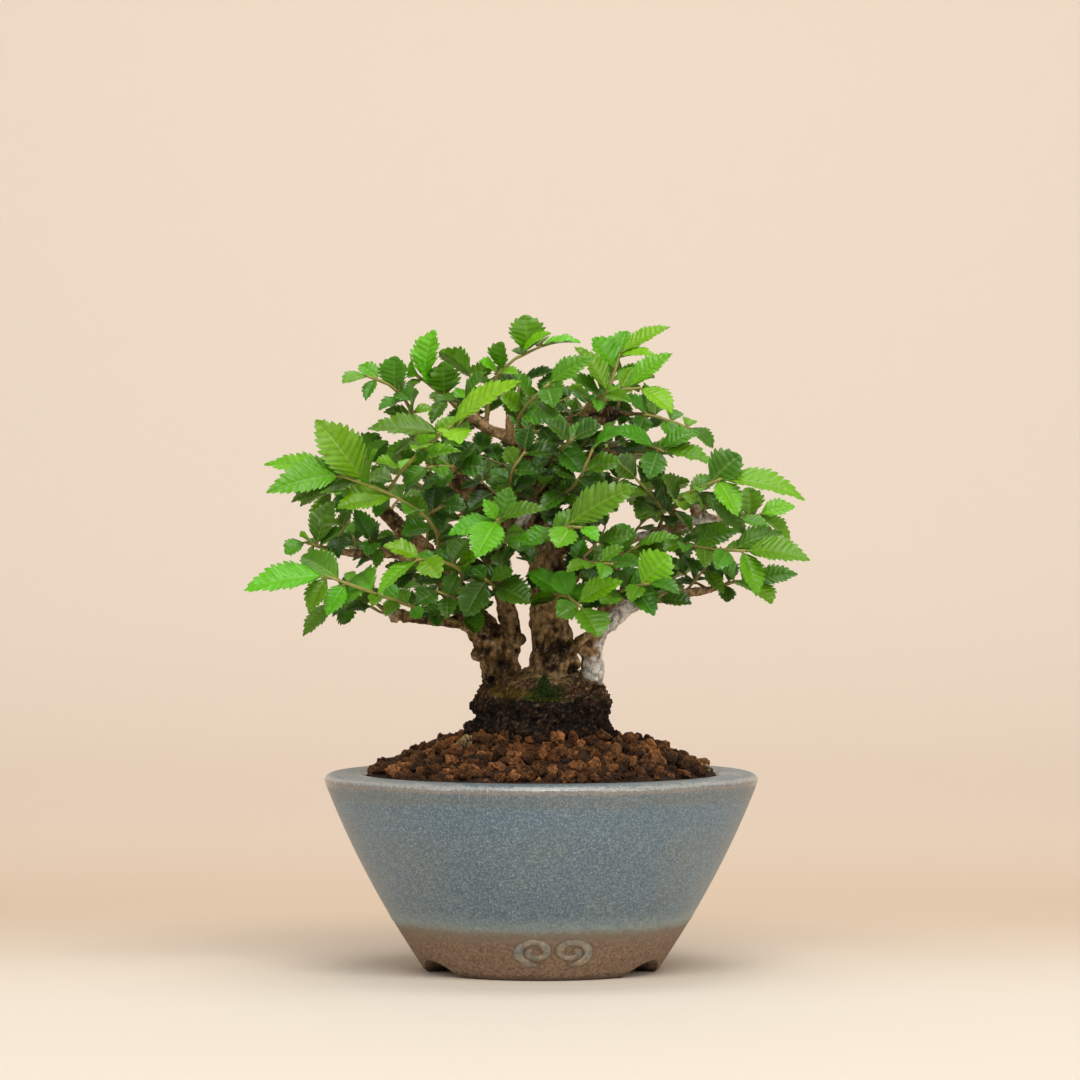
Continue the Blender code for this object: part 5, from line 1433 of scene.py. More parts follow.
def leaf_tint(name, leaf, share, rng):
    """Young tips are yellow-green, inner leaves deep green, partly as painted shade inside the crown; outer
    leaves are also lighter, as painted light.
    """
    middle = leaf.root + leaf.along * leaf.length * 0.6
    wide = (math.hypot(middle.x * 0.8, middle.y + 2) - CROWN_CORE) / CROWN_RIND
    out = min(1, max(0, wide, (middle.z - CROWN_HIGH) / CROWN_TOP))
    young = YOUNG_SHOOTS.get(name, PLAIN_YOUNG)
    if name in INNER_SHOOTS:
        young = INNER_YOUNG
    if middle.y > REAR_LINE:
        young = REAR_YOUNG
    age = young * (0.35 + 0.65 * share) * (0.5 + 0.5 * out) + rng.uniform(*AGE_WANDER)
    warm = rng.uniform(*LEAF_WARMTH)
    # Painted light: leaves further out of the crown are lighter
    light = rng.uniform(*LEAF_LIGHT) * (0.84 + 0.22 * out)
    if age < MID_AGE:
        tint = blend(LEAF_DEEP, LEAF_MID, max(0, age + DEEP_AGE) / (MID_AGE + DEEP_AGE))
    else:
        tint = blend(LEAF_MID, LEAF_YOUNG, min(1, (age - MID_AGE) / (1 - MID_AGE)))
    red, green, blue = tint
    light = min(light, LEAF_BRIGHTEST / green)
    return red * warm * light, green * light, blue * light


def stem_body(mesh, points, radii, young, count=STEM_RINGS):
    """A stem with a swelling at each node and colour from wood to green."""
    fine = []
    sizes = []
    tints = []
    for k in range(count + 1):
        at = k / count * (len(points) - 1)
        i = min(int(at), len(points) - 2)
        fine.append(points[i].lerp(points[i + 1], at - i))
        swell = STEM_NODE if k % STEM_NODE_EVERY == 0 else STEM_BETWEEN
        sizes.append((radii[i] + (radii[i + 1] - radii[i]) * (at - i)) * swell)
        green = young * STEM_YOUNG_GREEN + k / count * STEM_TIP_GREEN
        tints += [blend(STEM_OLD, STEM_YOUNG, min(1, green))] * STEM_SIDES
    vertices, faces = tube_mesh(fine, sizes, STEM_SIDES)
    mesh.add(vertices, faces, tints, 1)


def bud(mesh, point, out, size):
    """A small pointed bud in the corner between a leaf and its stem."""
    points = [point + out * size * share for share, _ in BUD_ROWS]
    vertices, faces = tube_mesh(points, [size * wide for _, wide in BUD_ROWS], BUD_SIDES)
    mesh.add(vertices, faces, blend(STEM_OLD, STEM_YOUNG, BUD_GREEN), 1)


def side_leaf(root, ahead, sign, length, rng):
    """A leaf that stands out to one side of a stem."""
    face = facing(root, rng)
    side = face.cross(ahead)
    if side.length < LEAST_CROSS:
        return None
    side.normalize()
    turn = math.radians(rng.uniform(*SIDE_TURN))
    lift = face.normalized() * rng.uniform(*SIDE_LIFT)
    way = (ahead * math.cos(turn) + side * math.sin(turn) * sign + lift).normalized()
    return Leaf(root, root + way * length, length * rng.uniform(*SIDE_WIDTH), face)


def more_leaves(shoots, taken):
    """Smaller leaves on each shoot, between those of the solids."""
    extra = {}
    for number, (name, shoot) in enumerate(shoots.items()):
        rng = random.Random(SEED + EXTRA_SEED + number)
        own = [tube_proxy(*shoot.stem_points())]
        extra[name] = []
        for _ in range(rng.randint(*EXTRA_LEAVES)):
            for attempt in range(EXTRA_TRIES):
                share = rng.uniform(*EXTRA_PLACE)
                root = shoot.root(share)
                ahead = stem_way(shoot.stem, share)
                length = rng.uniform(*SMALL_LENGTH) * (1 - attempt * EXTRA_SHRINK)
                leaf = side_leaf(root, ahead, rng.choice((-1, 1)), length, rng)
                room = leaf and clear_of(leaf, taken, own)
                if room:
                    extra[name].append(leaf)
                    taken.append(room[0])
                    break
    return extra


class Twig:
    """A short stem with its leaves and the limb's point that it grows from."""

    def __init__(self, base, stem):
        self.stem = stem
        self.leaves = []
        self.points = [base] + [curve_point(stem, k / TWIG_STEPS) for k in range(TWIG_STEPS + 1)]
        self.radii = [TWIG_RADIUS * TWIG_ROOT]
        self.radii += [TWIG_RADIUS * (1 - TWIG_TAPER * k) for k in range(TWIG_STEPS + 1)]


def leaf_twig(twig, taken, rng):
    """Sets leaves along a twig in two ranks, clear of the rest, and gives back the slabs that they fill."""
    own = [tube_proxy(twig.points[1:], twig.radii[1:], TWIG_SIDES)]
    ahead = (twig.stem[2] - twig.stem[0]).normalized()
    found = []
    for k in range(rng.randint(*TWIG_LEAVES)):
        root = curve_point(twig.stem, min(1.0, TWIG_FIRST + TWIG_SPACING * k))
        for _ in range(TWIG_LEAF_TRIES):
            leaf = side_leaf(root, ahead, -1 if k % 2 else 1, rng.uniform(*SMALL_LENGTH), rng)
            room = leaf and clear_of(leaf, taken, own)
            if room:
                twig.leaves.append(leaf)
                found.append(room[0])
                taken.append(room[0])
                break
    return found


def grow_twigs(taken):
    """Leafy twigs along the limbs inside the crown, clear of the rest."""
    twigs = []
    for number, (name, every) in enumerate(TWIG_LIMBS.items()):
        rng = random.Random(SEED + TWIG_SEED + number)
        fine, sizes = smooth_path(*limb_parts(LIMBS[name]), every)
        for point, radius in zip(fine[1:], sizes[1:]):
            if point.z < TWIG_LOWEST:
                continue
            for _ in range(TWIG_TRIES):
                turn = rng.uniform(0, 2 * math.pi)
                way = Vector((math.cos(turn), math.sin(turn) * TWIG_DEPTH, rng.uniform(*TWIG_RISE)))
                way.normalize()
                length = rng.uniform(*TWIG_LENGTH)
                start = point + way * (radius + TWIG_CLEAR)
                tip = start + way * length + Vector((0, 0, rng.uniform(0, TWIG_LIFT)))
                middle = (start + tip) / 2 + scatter(rng, 1)
                twig = Twig(point, (start, middle, tip))
                body = tube_proxy(twig.points[2:], twig.radii[2:], TWIG_SIDES)
                if meets(body, taken):
                    continue
                found = leaf_twig(twig, taken, rng)
                if len(twig.leaves) < TWIG_LEAST:
                    for whole in found:
                        taken.remove(whole)
                    continue
                taken.append(body)
                twigs.append(twig)
                break
    return twigs


def make_twigs(twigs, looks):
    """The inner twigs, in a left, a right and a rear piece."""
    groups = {"left": Mesh(), "right": Mesh(), "rear": Mesh()}
    rng = random.Random(SEED + TWIG_LOOK_SEED)
    for twig in twigs:
        middle = twig.stem[1]
        group = groups["rear" if middle.y > TWIG_REAR_LINE else "left" if middle.x < 0 else "right"]
        stem_body(group, twig.points, twig.radii, TWIG_YOUNG, TWIG_RINGS)
        for leaf in twig.leaves:
            fine_blade(group, leaf, leaf_tint("inner_mid", leaf, 0.5, rng), *vein_plan(leaf), rng)
    for side, group in groups.items():
        group.piece("twigs_" + side, looks, "leaf")


def make_sprays(shoots, extra, looks):
    """A fine piece for each shoot of the solids, with more leaves than the solids have."""
    for number, (name, shoot) in enumerate(shoots.items()):
        rng = random.Random(SEED + SPRAY_SEED + number)
        mesh = Mesh()
        points, radii = shoot.stem_points()
        stub = shoot.stub[1] - (shoot.stub[1] - shoot.stub[0]).normalized() * STEM_SINK
        young = YOUNG_SHOOTS.get(name, PLAIN_YOUNG)
        stem_body(mesh, [stub] + points, [STUB_RADIUS * STUB_TAPER] + radii, young)
        for leaf in shoot.leaves + extra[name]:
            share = (leaf.root - points[0]).length / max((points[-1] - points[0]).length, 1)
            fine_blade(mesh, leaf, leaf_tint(name, leaf, min(share, 1), rng), *vein_plan(leaf), rng)
            out = (leaf.along + Vector((0, 0, BUD_UP))).normalized()
            bud(mesh, leaf.root + out * BUD_OUT, out, rng.uniform(*BUD_SIZE))
        item = mesh.piece("spray_" + name, looks, "leaf")
        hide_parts("shoot_" + name)


# Wood: rounded limbs joined, remeshed and roughened

def smooth_path(points, radii, step=PATH_STEP):
    """A closer path through points, along a smooth curve."""
    fine = []
    sizes = []
    for i in range(len(points) - 1):
        before = points[max(i - 1, 0)]
        after = points[min(i + 2, len(points) - 1)]
        a = points[i]
        b = points[i + 1]
        count = max(1, round((b - a).length / step))
        for k in range(count):
            t = k / count
            fine.append(0.5 * (2 * a + (b - before) * t + (2 * before - 5 * a + 4 * b - after) * t * t
                               + (3 * a - before - 3 * b + after) * t ** 3))
            sizes.append(radii[i] + (radii[i + 1] - radii[i]) * t)
    fine.append(points[-1])
    sizes.append(radii[-1])
    return fine, sizes


def base_body():
    """The burred root base, with the same rows and unevenness as the solid one."""
    rng = random.Random(SEED + 1)
    vertices = []
    for height, share, uneven in BASE_ROWS:
        height = max(height, FINE_BASE_BOTTOM)
        for k in range(BASE_SIDES):
            angle = 2 * math.pi * k / BASE_SIDES
            size = share * (1 + rng.uniform(-uneven, uneven))
            lift = rng.uniform(-BASE_LIFT, BASE_LIFT) * uneven
            vertices.append(Vector((BASE_X + BASE_HALF_X * size * math.cos(angle),
                                    BASE_HALF_Y * size * math.sin(angle), height + lift)))
    return vertices, end_faces(len(BASE_ROWS), BASE_SIDES) + ring_faces(len(BASE_ROWS), BASE_SIDES)


def wood_bodies(shoots):
    """The base, the limbs, the burrs and cut stubs, the small roots and the shoots' stubs."""
    rng = random.Random(SEED + 2)
    bodies = [base_body()]
    for limb in LIMBS.values():
        bodies.append(tube_mesh(*smooth_path(*limb_parts(limb)), LIMB_RING))
    for at, reach, radius in KNOBS:
        points = [Vector(at) + Vector(reach) * (share * KNOB_REACH) for share, _ in KNOB_ROWS]
        sizes = [radius * size * KNOB_SLIM for _, size in KNOB_ROWS]
        bodies.append(tube_mesh(points, sizes, KNOB_RING, rng.uniform(0, 1)))
    for at, reach, radius in ROOTS:
        points = [Vector(at) + Vector(reach) * share for share, _ in ROOT_ROWS]
        bodies.append(tube_mesh(points, [radius * size for _, size in ROOT_ROWS], ROOT_RING))
    for shoot in shoots.values():
        bodies.append(tube_mesh(list(shoot.stub), [STUB_RADIUS, STUB_RADIUS * STUB_TAPER], STUB_RING))
    return bodies


def joined(bodies):
    """Overlapping bodies made one skin by a remesh, and smoothed a little."""
    bm = bmesh.new()
    for vertices, faces in bodies:
        add_body(bm, vertices, faces)
    mesh = mesh_from(bm, "joined")
    item = add_object("joined", mesh)
    remesh = item.modifiers.new("skin", "REMESH")
    remesh.mode = "VOXEL"
    remesh.voxel_size = WOOD_GRAIN
    soften = item.modifiers.new("soften", "SMOOTH")
    soften.factor = 0.5
    soften.iterations = SOFTEN_TIMES
    result = modified_mesh(item)
    bpy.data.objects.remove(item, do_unlink=True)
    bpy.data.meshes.remove(mesh)
    return result


def fractal(point, scale, octaves):
    return noise.fractal(point * scale, NOISE_FALL, NOISE_STEP, octaves)


def upright(point, stretch):
    """A point with its height scaled, so that a noise there runs along or across the wood."""
    return Vector((point.x, point.y, point.z * stretch))


def base_tint(point, depth, patch, grain, speckle):
    """The root base's colour: black below, red and flecked above, with a yellow patch at the left, and
    painted shade where it lies deep.
    """
    low = clamp((BASE_BLACK_TOP - point.z + patch * 2) / 3)
    layers = fractal(Vector((point.x * 0.3, point.y * 0.3, point.z * 1.5)), *LAYER_NOISE)
    colour = blend(BASE_RED, BASE_BLACK, clamp(low + grain * 0.5 + layers * 0.5))
    if point.z < BASE_FOOT_TOP:
        colour = blend(colour, BASE_RED, clamp(0.1 + grain) * 0.35)
    flecks = max(0, fractal(point, *FLECK_NOISE) * 2.6 - 0.4) * (1.2 - low)
    pale = max(0, layers + grain * 0.5 - 0.3) * (1.3 - low) + flecks
    colour = blend(colour, BASE_PALE, min(0.85, pale))
    across, height = YELLOW_AT
    yellow = max(0, 1.2 - abs(point.z - height + patch) / 1.7) * max(0, 1.2 - abs(point.x - across) / 7)
    if point.y < 0:
        colour = blend(colour, BASE_YELLOW, min(0.9, yellow * (1.2 + grain)))
    colour = blend(colour, BARK_WARM, max(0, speckle - 0.4) * 0.9)
    # Painted shade: darker where the base lies deep
    return blend(colour, BARK_DARK_AND_PAINTED_SHADE, clamp(depth) * 0.7)


def bark_tint(point, name, away, depth):
    """The bark's colour at a point: painted shade where it lies deep, pale or brown by limb and height, and
    painted light and shade across the centre trunk.
    """
    patch = fractal(point, *PATCH_NOISE)
    grain = fractal(point, *TINT_NOISE)
    speckle = fractal(point, *SPECKLE_NOISE)
    wave = math.sin(point.x * 1.9) * 0.8 if name == "right_trunk" else 0
    if point.z < BASE_BARK_TOP + patch * 3 + grain * 1.6 + wave:
        return base_tint(point, depth, patch, grain, speckle)
    streak = fractal(upright(point, 0.2), *STREAK_NOISE)
    warm = 0.4 + patch * 1.5 + grain * 0.5 + streak * 0.7 + speckle * 0.3
    # Painted light and shade: the centre trunk lighter to the right and darker at its left edge
    if name == "mid_trunk":
        warm += MID_TRUNK_PAINTED_SIDE_LIGHT * clamp((point.x + 3.5) / 4, -1)
    colour = blend(BARK_BROWN, BARK_WARM, clamp(warm))
    dark = -0.26 - patch * 1.9 - grain * 0.8 - streak * 0.4
    colour = blend(colour, BARK_DARK_AND_PAINTED_SHADE, clamp(dark, 0, 0.85))
    if name in PALE_BARK:
        low, high = PALE_BARK[name]
        pale = clamp((point.z - low) / 3) * clamp((high - point.z) / 4) * clamp(1.3 - away)
        crust = max(0, patch * 1.4 + grain * 0.9 - 0.1) if point.z > CRUST_BOTTOM else 0
        colour = blend(colour, BARK_GREY, clamp(pale * (1.0 + grain * 0.4) - crust * 1.6))
    colour = blend(colour, BARK_GREY, max(0, speckle - 0.25) * 0.5)
    # Painted shade: darker where the bark lies deep in its fissures, pits and knot holes
    return blend(colour, BARK_DARK_AND_PAINTED_SHADE, clamp(depth) * (0.45 if name == "right_trunk" else 0.85))


def knot_holes(point, grain):
    """How deep a point lies in a knot hole, and how far the holes' rings raise the bark there."""
    hole = 0
    ring = 0
    if point.y < KNOT_BACK:
        for x, z, size in KNOT_HOLES:
            off = math.hypot(point.x - x, point.z - z) / size * (1 + 0.3 * grain)
            hole = max(hole, 1 - off)
            ring += KNOT_RING * math.exp(-((off - 1.4) / 0.5) ** 2) * min(1, size)
    return hole, ring


def bark_point(point):
    """How far the bark stands out of the smooth wood, how full its relief is there, and its colour."""
    name, away = nearest_limb(point)
    low = clamp((BASE_ROUGH_TOP - point.z) / 4)
    fissure = abs(fractal(upright(point, 0.35 + low * 0.8), *FISSURE_NOISE))
    grain = fractal(upright(point, 0.5 + low * 0.5), *GRAIN_NOISE)
    pit = max(0, fractal(point + PIT_SHIFT, *PIT_NOISE) - 0.25)
    broad = fractal(upright(point, 1.4), *BROAD_NOISE)
    hole, ring = knot_holes(point, grain)
    reach = (0.42 + 0.3 * low) * (fissure * 1.6 - 0.5) + (0.17 + 0.15 * low) * grain
    reach = reach - pit * (1.2 + 0.4 * low) + broad * (0.35 + 0.45 * low) + ring - KNOT_DEPTH * hole
    # How deep the point lies in fissures and pits, which sets the painted shade in its colour
    depth = 0.36 + 0.14 * low - fissure * 2.2 + pit * 2.5
    # Painted shade in the knot holes
    colour = bark_tint(point, name, away, depth + hole * 4)
    for x, y, z, size in CUT_ENDS:
        off = (point - Vector((x, y, z))).length / size
        if off < 1:
            colour = blend(colour, CUT_PALE, min(1, (1 - off) * 2.4))
    limb = LIMBS[name]
    thin = min(1, limb[len(limb) // 2][3] / FULL_BARK_RADIUS)
    return reach, thin, colour


def mesh_values(mesh, key):
    """A vector for each point of a mesh, as rows."""
    values = np.empty(len(mesh.vertices) * 3, np.float32)
    mesh.vertices.foreach_get(key, values)
    return values.reshape(-1, 3)


def make_fine_wood(shoots, bark):
    """The fine wood: limbs, base, burrs and stubs under one rough skin of bark."""
    mesh = joined(wood_bodies(shoots))
    where = mesh_values(mesh, "co")
    normals = mesh_values(mesh, "normal")
    tints = []
    for i in range(len(where)):
        point = Vector(where[i]) / MM
        point.x -= POT_AXIS_X
        reach, thin, colour = bark_point(point)
        where[i] += normals[i] * reach * thin * MM
        tints.append(colour)
    mesh.vertices.foreach_set("co", where.ravel())
    mesh.update()
    set_tints(mesh, tints)
    mesh.materials.clear()
    mesh.materials.append(bark)
    smooth_all(mesh)
    item = add_object("wood", mesh)
    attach(item, "root")
    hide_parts("trunk_and_branches")
    return item


# Granules

def pebble(rng):
    """A small crumbly stone: a ball cut by planes and roughened, with a painted shade for each point: darker
    in its hollows, lighter on its bumps.
    """
    bm = bmesh.new()
    bmesh.ops.create_icosphere(bm, subdivisions=PEBBLE_DETAIL, radius=1.0)
    offset = scatter(rng, PEBBLE_SHIFT)
    size = Vector([rng.uniform(*PEBBLE_STRETCH) for _ in range(3)])
    planes = []
    for _ in range(PEBBLE_CUTS):
        planes.append((Vector([rng.gauss(0, 1) for _ in range(3)]).normalized(), rng.uniform(*PEBBLE_DEPTH)))
    points = []
    painted_shades = []
    for vertex in bm.verts:
        reach = PEBBLE_REACH
        for normal, depth in planes:
            slope = vertex.co.dot(normal)
            if slope > PEBBLE_LEAST_SLOPE:
                reach = min(reach, depth / slope)
        bumps = sum(strength * noise.noise(vertex.co * scale + offset) for scale, strength in PEBBLE_BUMPS)
        reach *= 1 + bumps
        points.append(Vector([vertex.co[k] * size[k] * reach for k in range(3)]))
        # Painted shade and light: the point is darker where the stone dips and lighter where it bulges
        painted_shades.append(clamp(PEBBLE_PAINTED_SHADE + bumps * PEBBLE_PAINTED_SHADE_CONTRAST, *PAINTED_SHADE_RANGE))
    faces = [tuple(v.index for v in face.verts) for face in bm.faces]
    bm.free()
    return points, faces, painted_shades


def place_granules(rng):
    """Where granules lie on the mound, as (x, y, z, size): the large ones first, then small ones between."""
    edge = LIP_INNER_RADIUS - GRANULE_CLEAR
    placed = []
    near = {}
    for attempt in range(GRANULE_TRIES):
        size = rng.choice(LARGE_GRANULES) if attempt < LARGE_TRIES else rng.uniform(*SMALL_GRANULES)
        angle = rng.uniform(0, 2 * math.pi)
        radius = edge * math.sqrt(rng.random())
        x = radius * math.cos(angle)
        y = radius * math.sin(angle)
        u = (x - BASE_X) / (BASE_HALF_X + size * GRANULE_BESIDE)
        v = y / (BASE_HALF_Y + size * GRANULE_BESIDE)
        if math.hypot(x, y) + size * GRANULE_INSIDE > edge or math.hypot(u, v) < 1:
            continue
        column, row = int(x // GRANULE_CELL), int(y // GRANULE_CELL)
        crowd = [p for i in (-1, 0, 1) for j in (-1, 0, 1) for p in near.get((column + i, row + j), [])]
        if any(math.hypot(x - a, y - b) < (size + c) * GRANULE_PACKING for a, b, _, c in crowd):
            continue
        z = mound_height(x, y) + size * rng.uniform(*GRANULE_RISE) - GRANULE_SINK
        placed.append((x, y, z, size))
        near.setdefault((column, row), []).append(placed[-1])
    return placed


def make_granules(look):
    """Loose granules packed on the mound, in two pieces."""
    rng = random.Random(SEED + 3)
    shapes = [pebble(rng) for _ in range(PEBBLE_SHAPES)]
    halves = (Mesh(), Mesh())
    for x, y, z, size in place_granules(rng):
        points, faces, painted_shades = rng.choice(shapes)
        spin = Euler([rng.uniform(0, FULL_TURN) for _ in range(3)]).to_matrix()
        grey = rng.uniform(*GRANULE_GREY)
        tint = tuple(c * grey for c in rng.choice(GRANULE_TINTS))
        if size < BLACK_SIZE and rng.random() < BLACK_SHARE:
            tint = BLACK_GRANULE
        if any(math.hypot(x - a, y - b) < PALE_REACH for a, b in PALE_SPOTS):
            tint = YELLOW_GRANULE
        turned = [spin @ p for p in points]
        tints = []
        # The stone's painted shades, made lighter towards the granule's top and darker underneath as painted
        # light and shade
        for shade, p in zip(painted_shades, turned):
            shade *= clamp(PAINTED_TOP_LIGHT + p.z * PAINTED_TOP_LIGHT_CONTRAST, *PAINTED_TOP_LIGHT_RANGE)
            tints.append(tuple(c * shade for c in tint))
        at = Vector((x, y, z))
        halves[x > 0].add([at + p * size for p in turned], faces, tints)
    for side, half in zip(("left", "right"), halves):
        half.piece("granules_" + side, [look], "clay_granules", smooth=False)


# Moss

def make_moss(wood, look):
    """Tiny blades of moss standing on the wood."""
    rng = random.Random(SEED + 4)
    skin = wood.data
    tree = BVHTree.FromPolygons([v.co for v in skin.vertices], [tuple(p.vertices) for p in skin.polygons])
    mesh = Mesh()
    for x, y, z, across, tall, count in MOSS_PATCHES:
        high = MOSS_FRINGE if tall < FRINGE_TALL else MOSS_HIGH
        for _ in range(count):
            side_way = x + rng.gauss(0, MOSS_SPREAD[0]) * across
            aim = Vector(place((side_way, y - MOSS_BEFORE, z + rng.gauss(0, MOSS_SPREAD[1]) * tall)))
            hit, normal, _, _ = tree.ray_cast(aim, Vector((0, 1, 0)))
            if hit is None or normal is None:
                continue
            root = Vector((hit.x / MM - POT_AXIS_X, hit.y / MM, hit.z / MM)) - normal * MOSS_SINK
            up = (normal + Vector((0, 0, MOSS_UP)) + scatter(rng, MOSS_LEAN)).normalized()
            side = up.cross(scatter(rng, 1)).normalized()
            length = rng.uniform(*MOSS_LENGTH)
            wide = rng.uniform(*MOSS_WIDTH)
            bend = normal * rng.uniform(0, MOSS_BEND)
            middle = up * length * 0.6
            points = [root - side * wide, root + side * wide, root + middle + side * wide * 0.8,
                      root + middle - side * wide * 0.8, root + up * length + bend,
                      root + up.cross(side) * MOSS_THICK]
            mesh.add(points, MOSS_FACES, blend(MOSS_LOW, high, rng.random()))
    mesh.piece("moss", [look], "bark", smooth=False)


# Pot

def glazed_radius(height):
    """The pot's outer radius, standing out a little where the glaze ends in a thick edge."""
    bead = GLAZE_BEAD * math.exp(-(height - GLAZE_EDGE - BEAD_ABOVE) ** 2)
    step = GLAZE_STEP if height > GLAZE_EDGE else 0.0
    return outer_radius(height) + bead + step


def fine_pot_profile():
    """The pot's outline, as radius and height, up the outside, round the lip and down the inside."""
    profile = [(glazed_radius(z) - (FOOT_BEVEL if z == 0 else 0), z) for z in OUTER_HEIGHTS]
    across, high = LIP_ROUND
    for k in range(LIP_STEPS + 1):
        angle = math.pi / 2 * k / LIP_STEPS
        profile.append((RIM_RADIUS + 0.05 - across * (1 - math.cos(angle)),
                        LIP_TOP - high * (1 - math.sin(angle))))
    profile += [(LIP_INNER_RADIUS + out, LIP_TOP - down) for out, down in LIP_ROWS]
    profile += [(inner_radius(z), z) for z in INNER_HEIGHTS]
    ring = outer_radius(0) - FOOT_RING
    return profile + [(DRAIN_RADIUS, FLOOR_TOP), (DRAIN_RADIUS, RECESS_TOP), (ring - 0.8, RECESS_TOP),
                      (ring, 0.3), (ring + 0.4, 0)]


def make_fine_pot(look):
    """A rounder pot with the same walls, notches cut in its foot, and a rounded lip."""
    profile = fine_pot_profile()
    vertices = []
    for radius, height in profile:
        for k in range(POT_RING):
            angle = 2 * math.pi * k / POT_RING
            vertices.append(Vector((radius * math.cos(angle), radius * math.sin(angle), height)))
    body = Mesh()
    body.add(vertices, ring_faces(len(profile), POT_RING, closed=True))
    pot = body.piece("pot_body", [look], "blue_grey_glaze")
    cutters = bpy.data.collections.new("notches")
    bpy.context.scene.collection.children.link(cutters)
    for bearing in NOTCH_BEARINGS:
        cutters.objects.link(bpy.data.objects.new("notch", notch_bar(bearing)))
    cut = pot.modifiers.new("notches", "BOOLEAN")
    cut.operation = "DIFFERENCE"
    cut.operand_type = "COLLECTION"
    cut.collection = cutters
    cut.solver = "EXACT"
    mesh = modified_mesh(pot)
    pot.modifiers.clear()
    pot.data = mesh
    for item in list(cutters.objects):
        bpy.data.objects.remove(item, do_unlink=True)
    bpy.data.collections.remove(cutters)
    mesh.set_sharp_from_angle(angle=math.radians(POT_SHARP))
    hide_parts("pot")


def notch_bar(bearing):
    """A round bar under the foot, whose top rises into it as an arch, with close steps."""
    radius = (NOTCH_HALF_WIDTH ** 2 + NOTCH_HEIGHT ** 2) / (2 * NOTCH_HEIGHT)
    drop = NOTCH_HEIGHT - radius
    out = Vector((math.cos(math.radians(bearing)), math.sin(math.radians(bearing)), 0))
    across = out.cross(Vector((0, 0, 1)))
    half = math.asin(NOTCH_HALF_WIDTH * NOTCH_PAST / radius)
    outline = []
    for k in range(NOTCH_STEPS + 1):
        angle = half * (2 * k / NOTCH_STEPS - 1)
        outline.append((radius * math.sin(angle), drop + radius * math.cos(angle)))
    outline += [(outline[-1][0], -NOTCH_HEIGHT), (outline[0][0], -NOTCH_HEIGHT)]
    vertices = [out * reach + across * u + Vector((0, 0, v)) for reach in NOTCH_REACH for u, v in outline]
    bm = bmesh.new()
    add_body(bm, vertices, turned_faces(2, len(outline)))
    bmesh.ops.recalc_face_normals(bm, faces=bm.faces)
    return mesh_from(bm, "notch")


def make_scrolls(look):
    """The pair of spirals on the foot, in mottled slip with soft, rounded bands and brown edges that are
    painted shade where the band meets the foot.
    """
    mesh = Mesh()
    for mirror in (-1, 1):
        vertices = []
        tints = []
        for k in range(SCROLL_FINE_STEPS + 1):
            share = k / SCROLL_FINE_STEPS
            angle = math.radians(SCROLL_START) - share * SCROLL_TURNS * 2 * math.pi
            radius = SCROLL_OUTER + (SCROLL_INNER - SCROLL_OUTER) * share
            uneven = 1 + 0.2 * noise.noise(Vector((share * 9, mirror * 3, 0)))
            fade = min(1, share * 9 + 0.3) * min(1, (1 - share) * 7 + 0.4) * (1 - 0.25 * share)
            mottle = 0.5 + 0.9 * noise.noise(Vector((share * 7, mirror * 5, 4)))
            pale = blend(SLIP_GREY, SLIP_CREAM, clamp(mottle))
            for across, up, light in SCROLL_SECTION:
                band = radius + SCROLL_BAND / 2 * across * uneven * fade
                reach = band * math.cos(angle) * SCROLL_WIDEN
                u = SCROLL_MID_X + mirror * (SCROLL_SPACING / 2 - reach)
                z = SCROLL_HEIGHT + band * math.sin(angle)
                surface = math.sqrt(max(glazed_radius(z) ** 2 - u * u, 1))
                vertices.append(Vector((u, -surface - SCROLL_RISE * up * fade, z)))
                # Painted shade: darker brown towards the band's edges and its ends
                tints.append(blend(SLIP_EDGE_SHADE, pale, light * fade))
        faces = turned_faces(SCROLL_FINE_STEPS + 1, len(SCROLL_SECTION))
        if mirror == 1:
            faces = [tuple(reversed(face)) for face in faces]
        mesh.add(vertices, faces, tints)
    mesh.piece("scrolls", [look], "blue_grey_glaze")


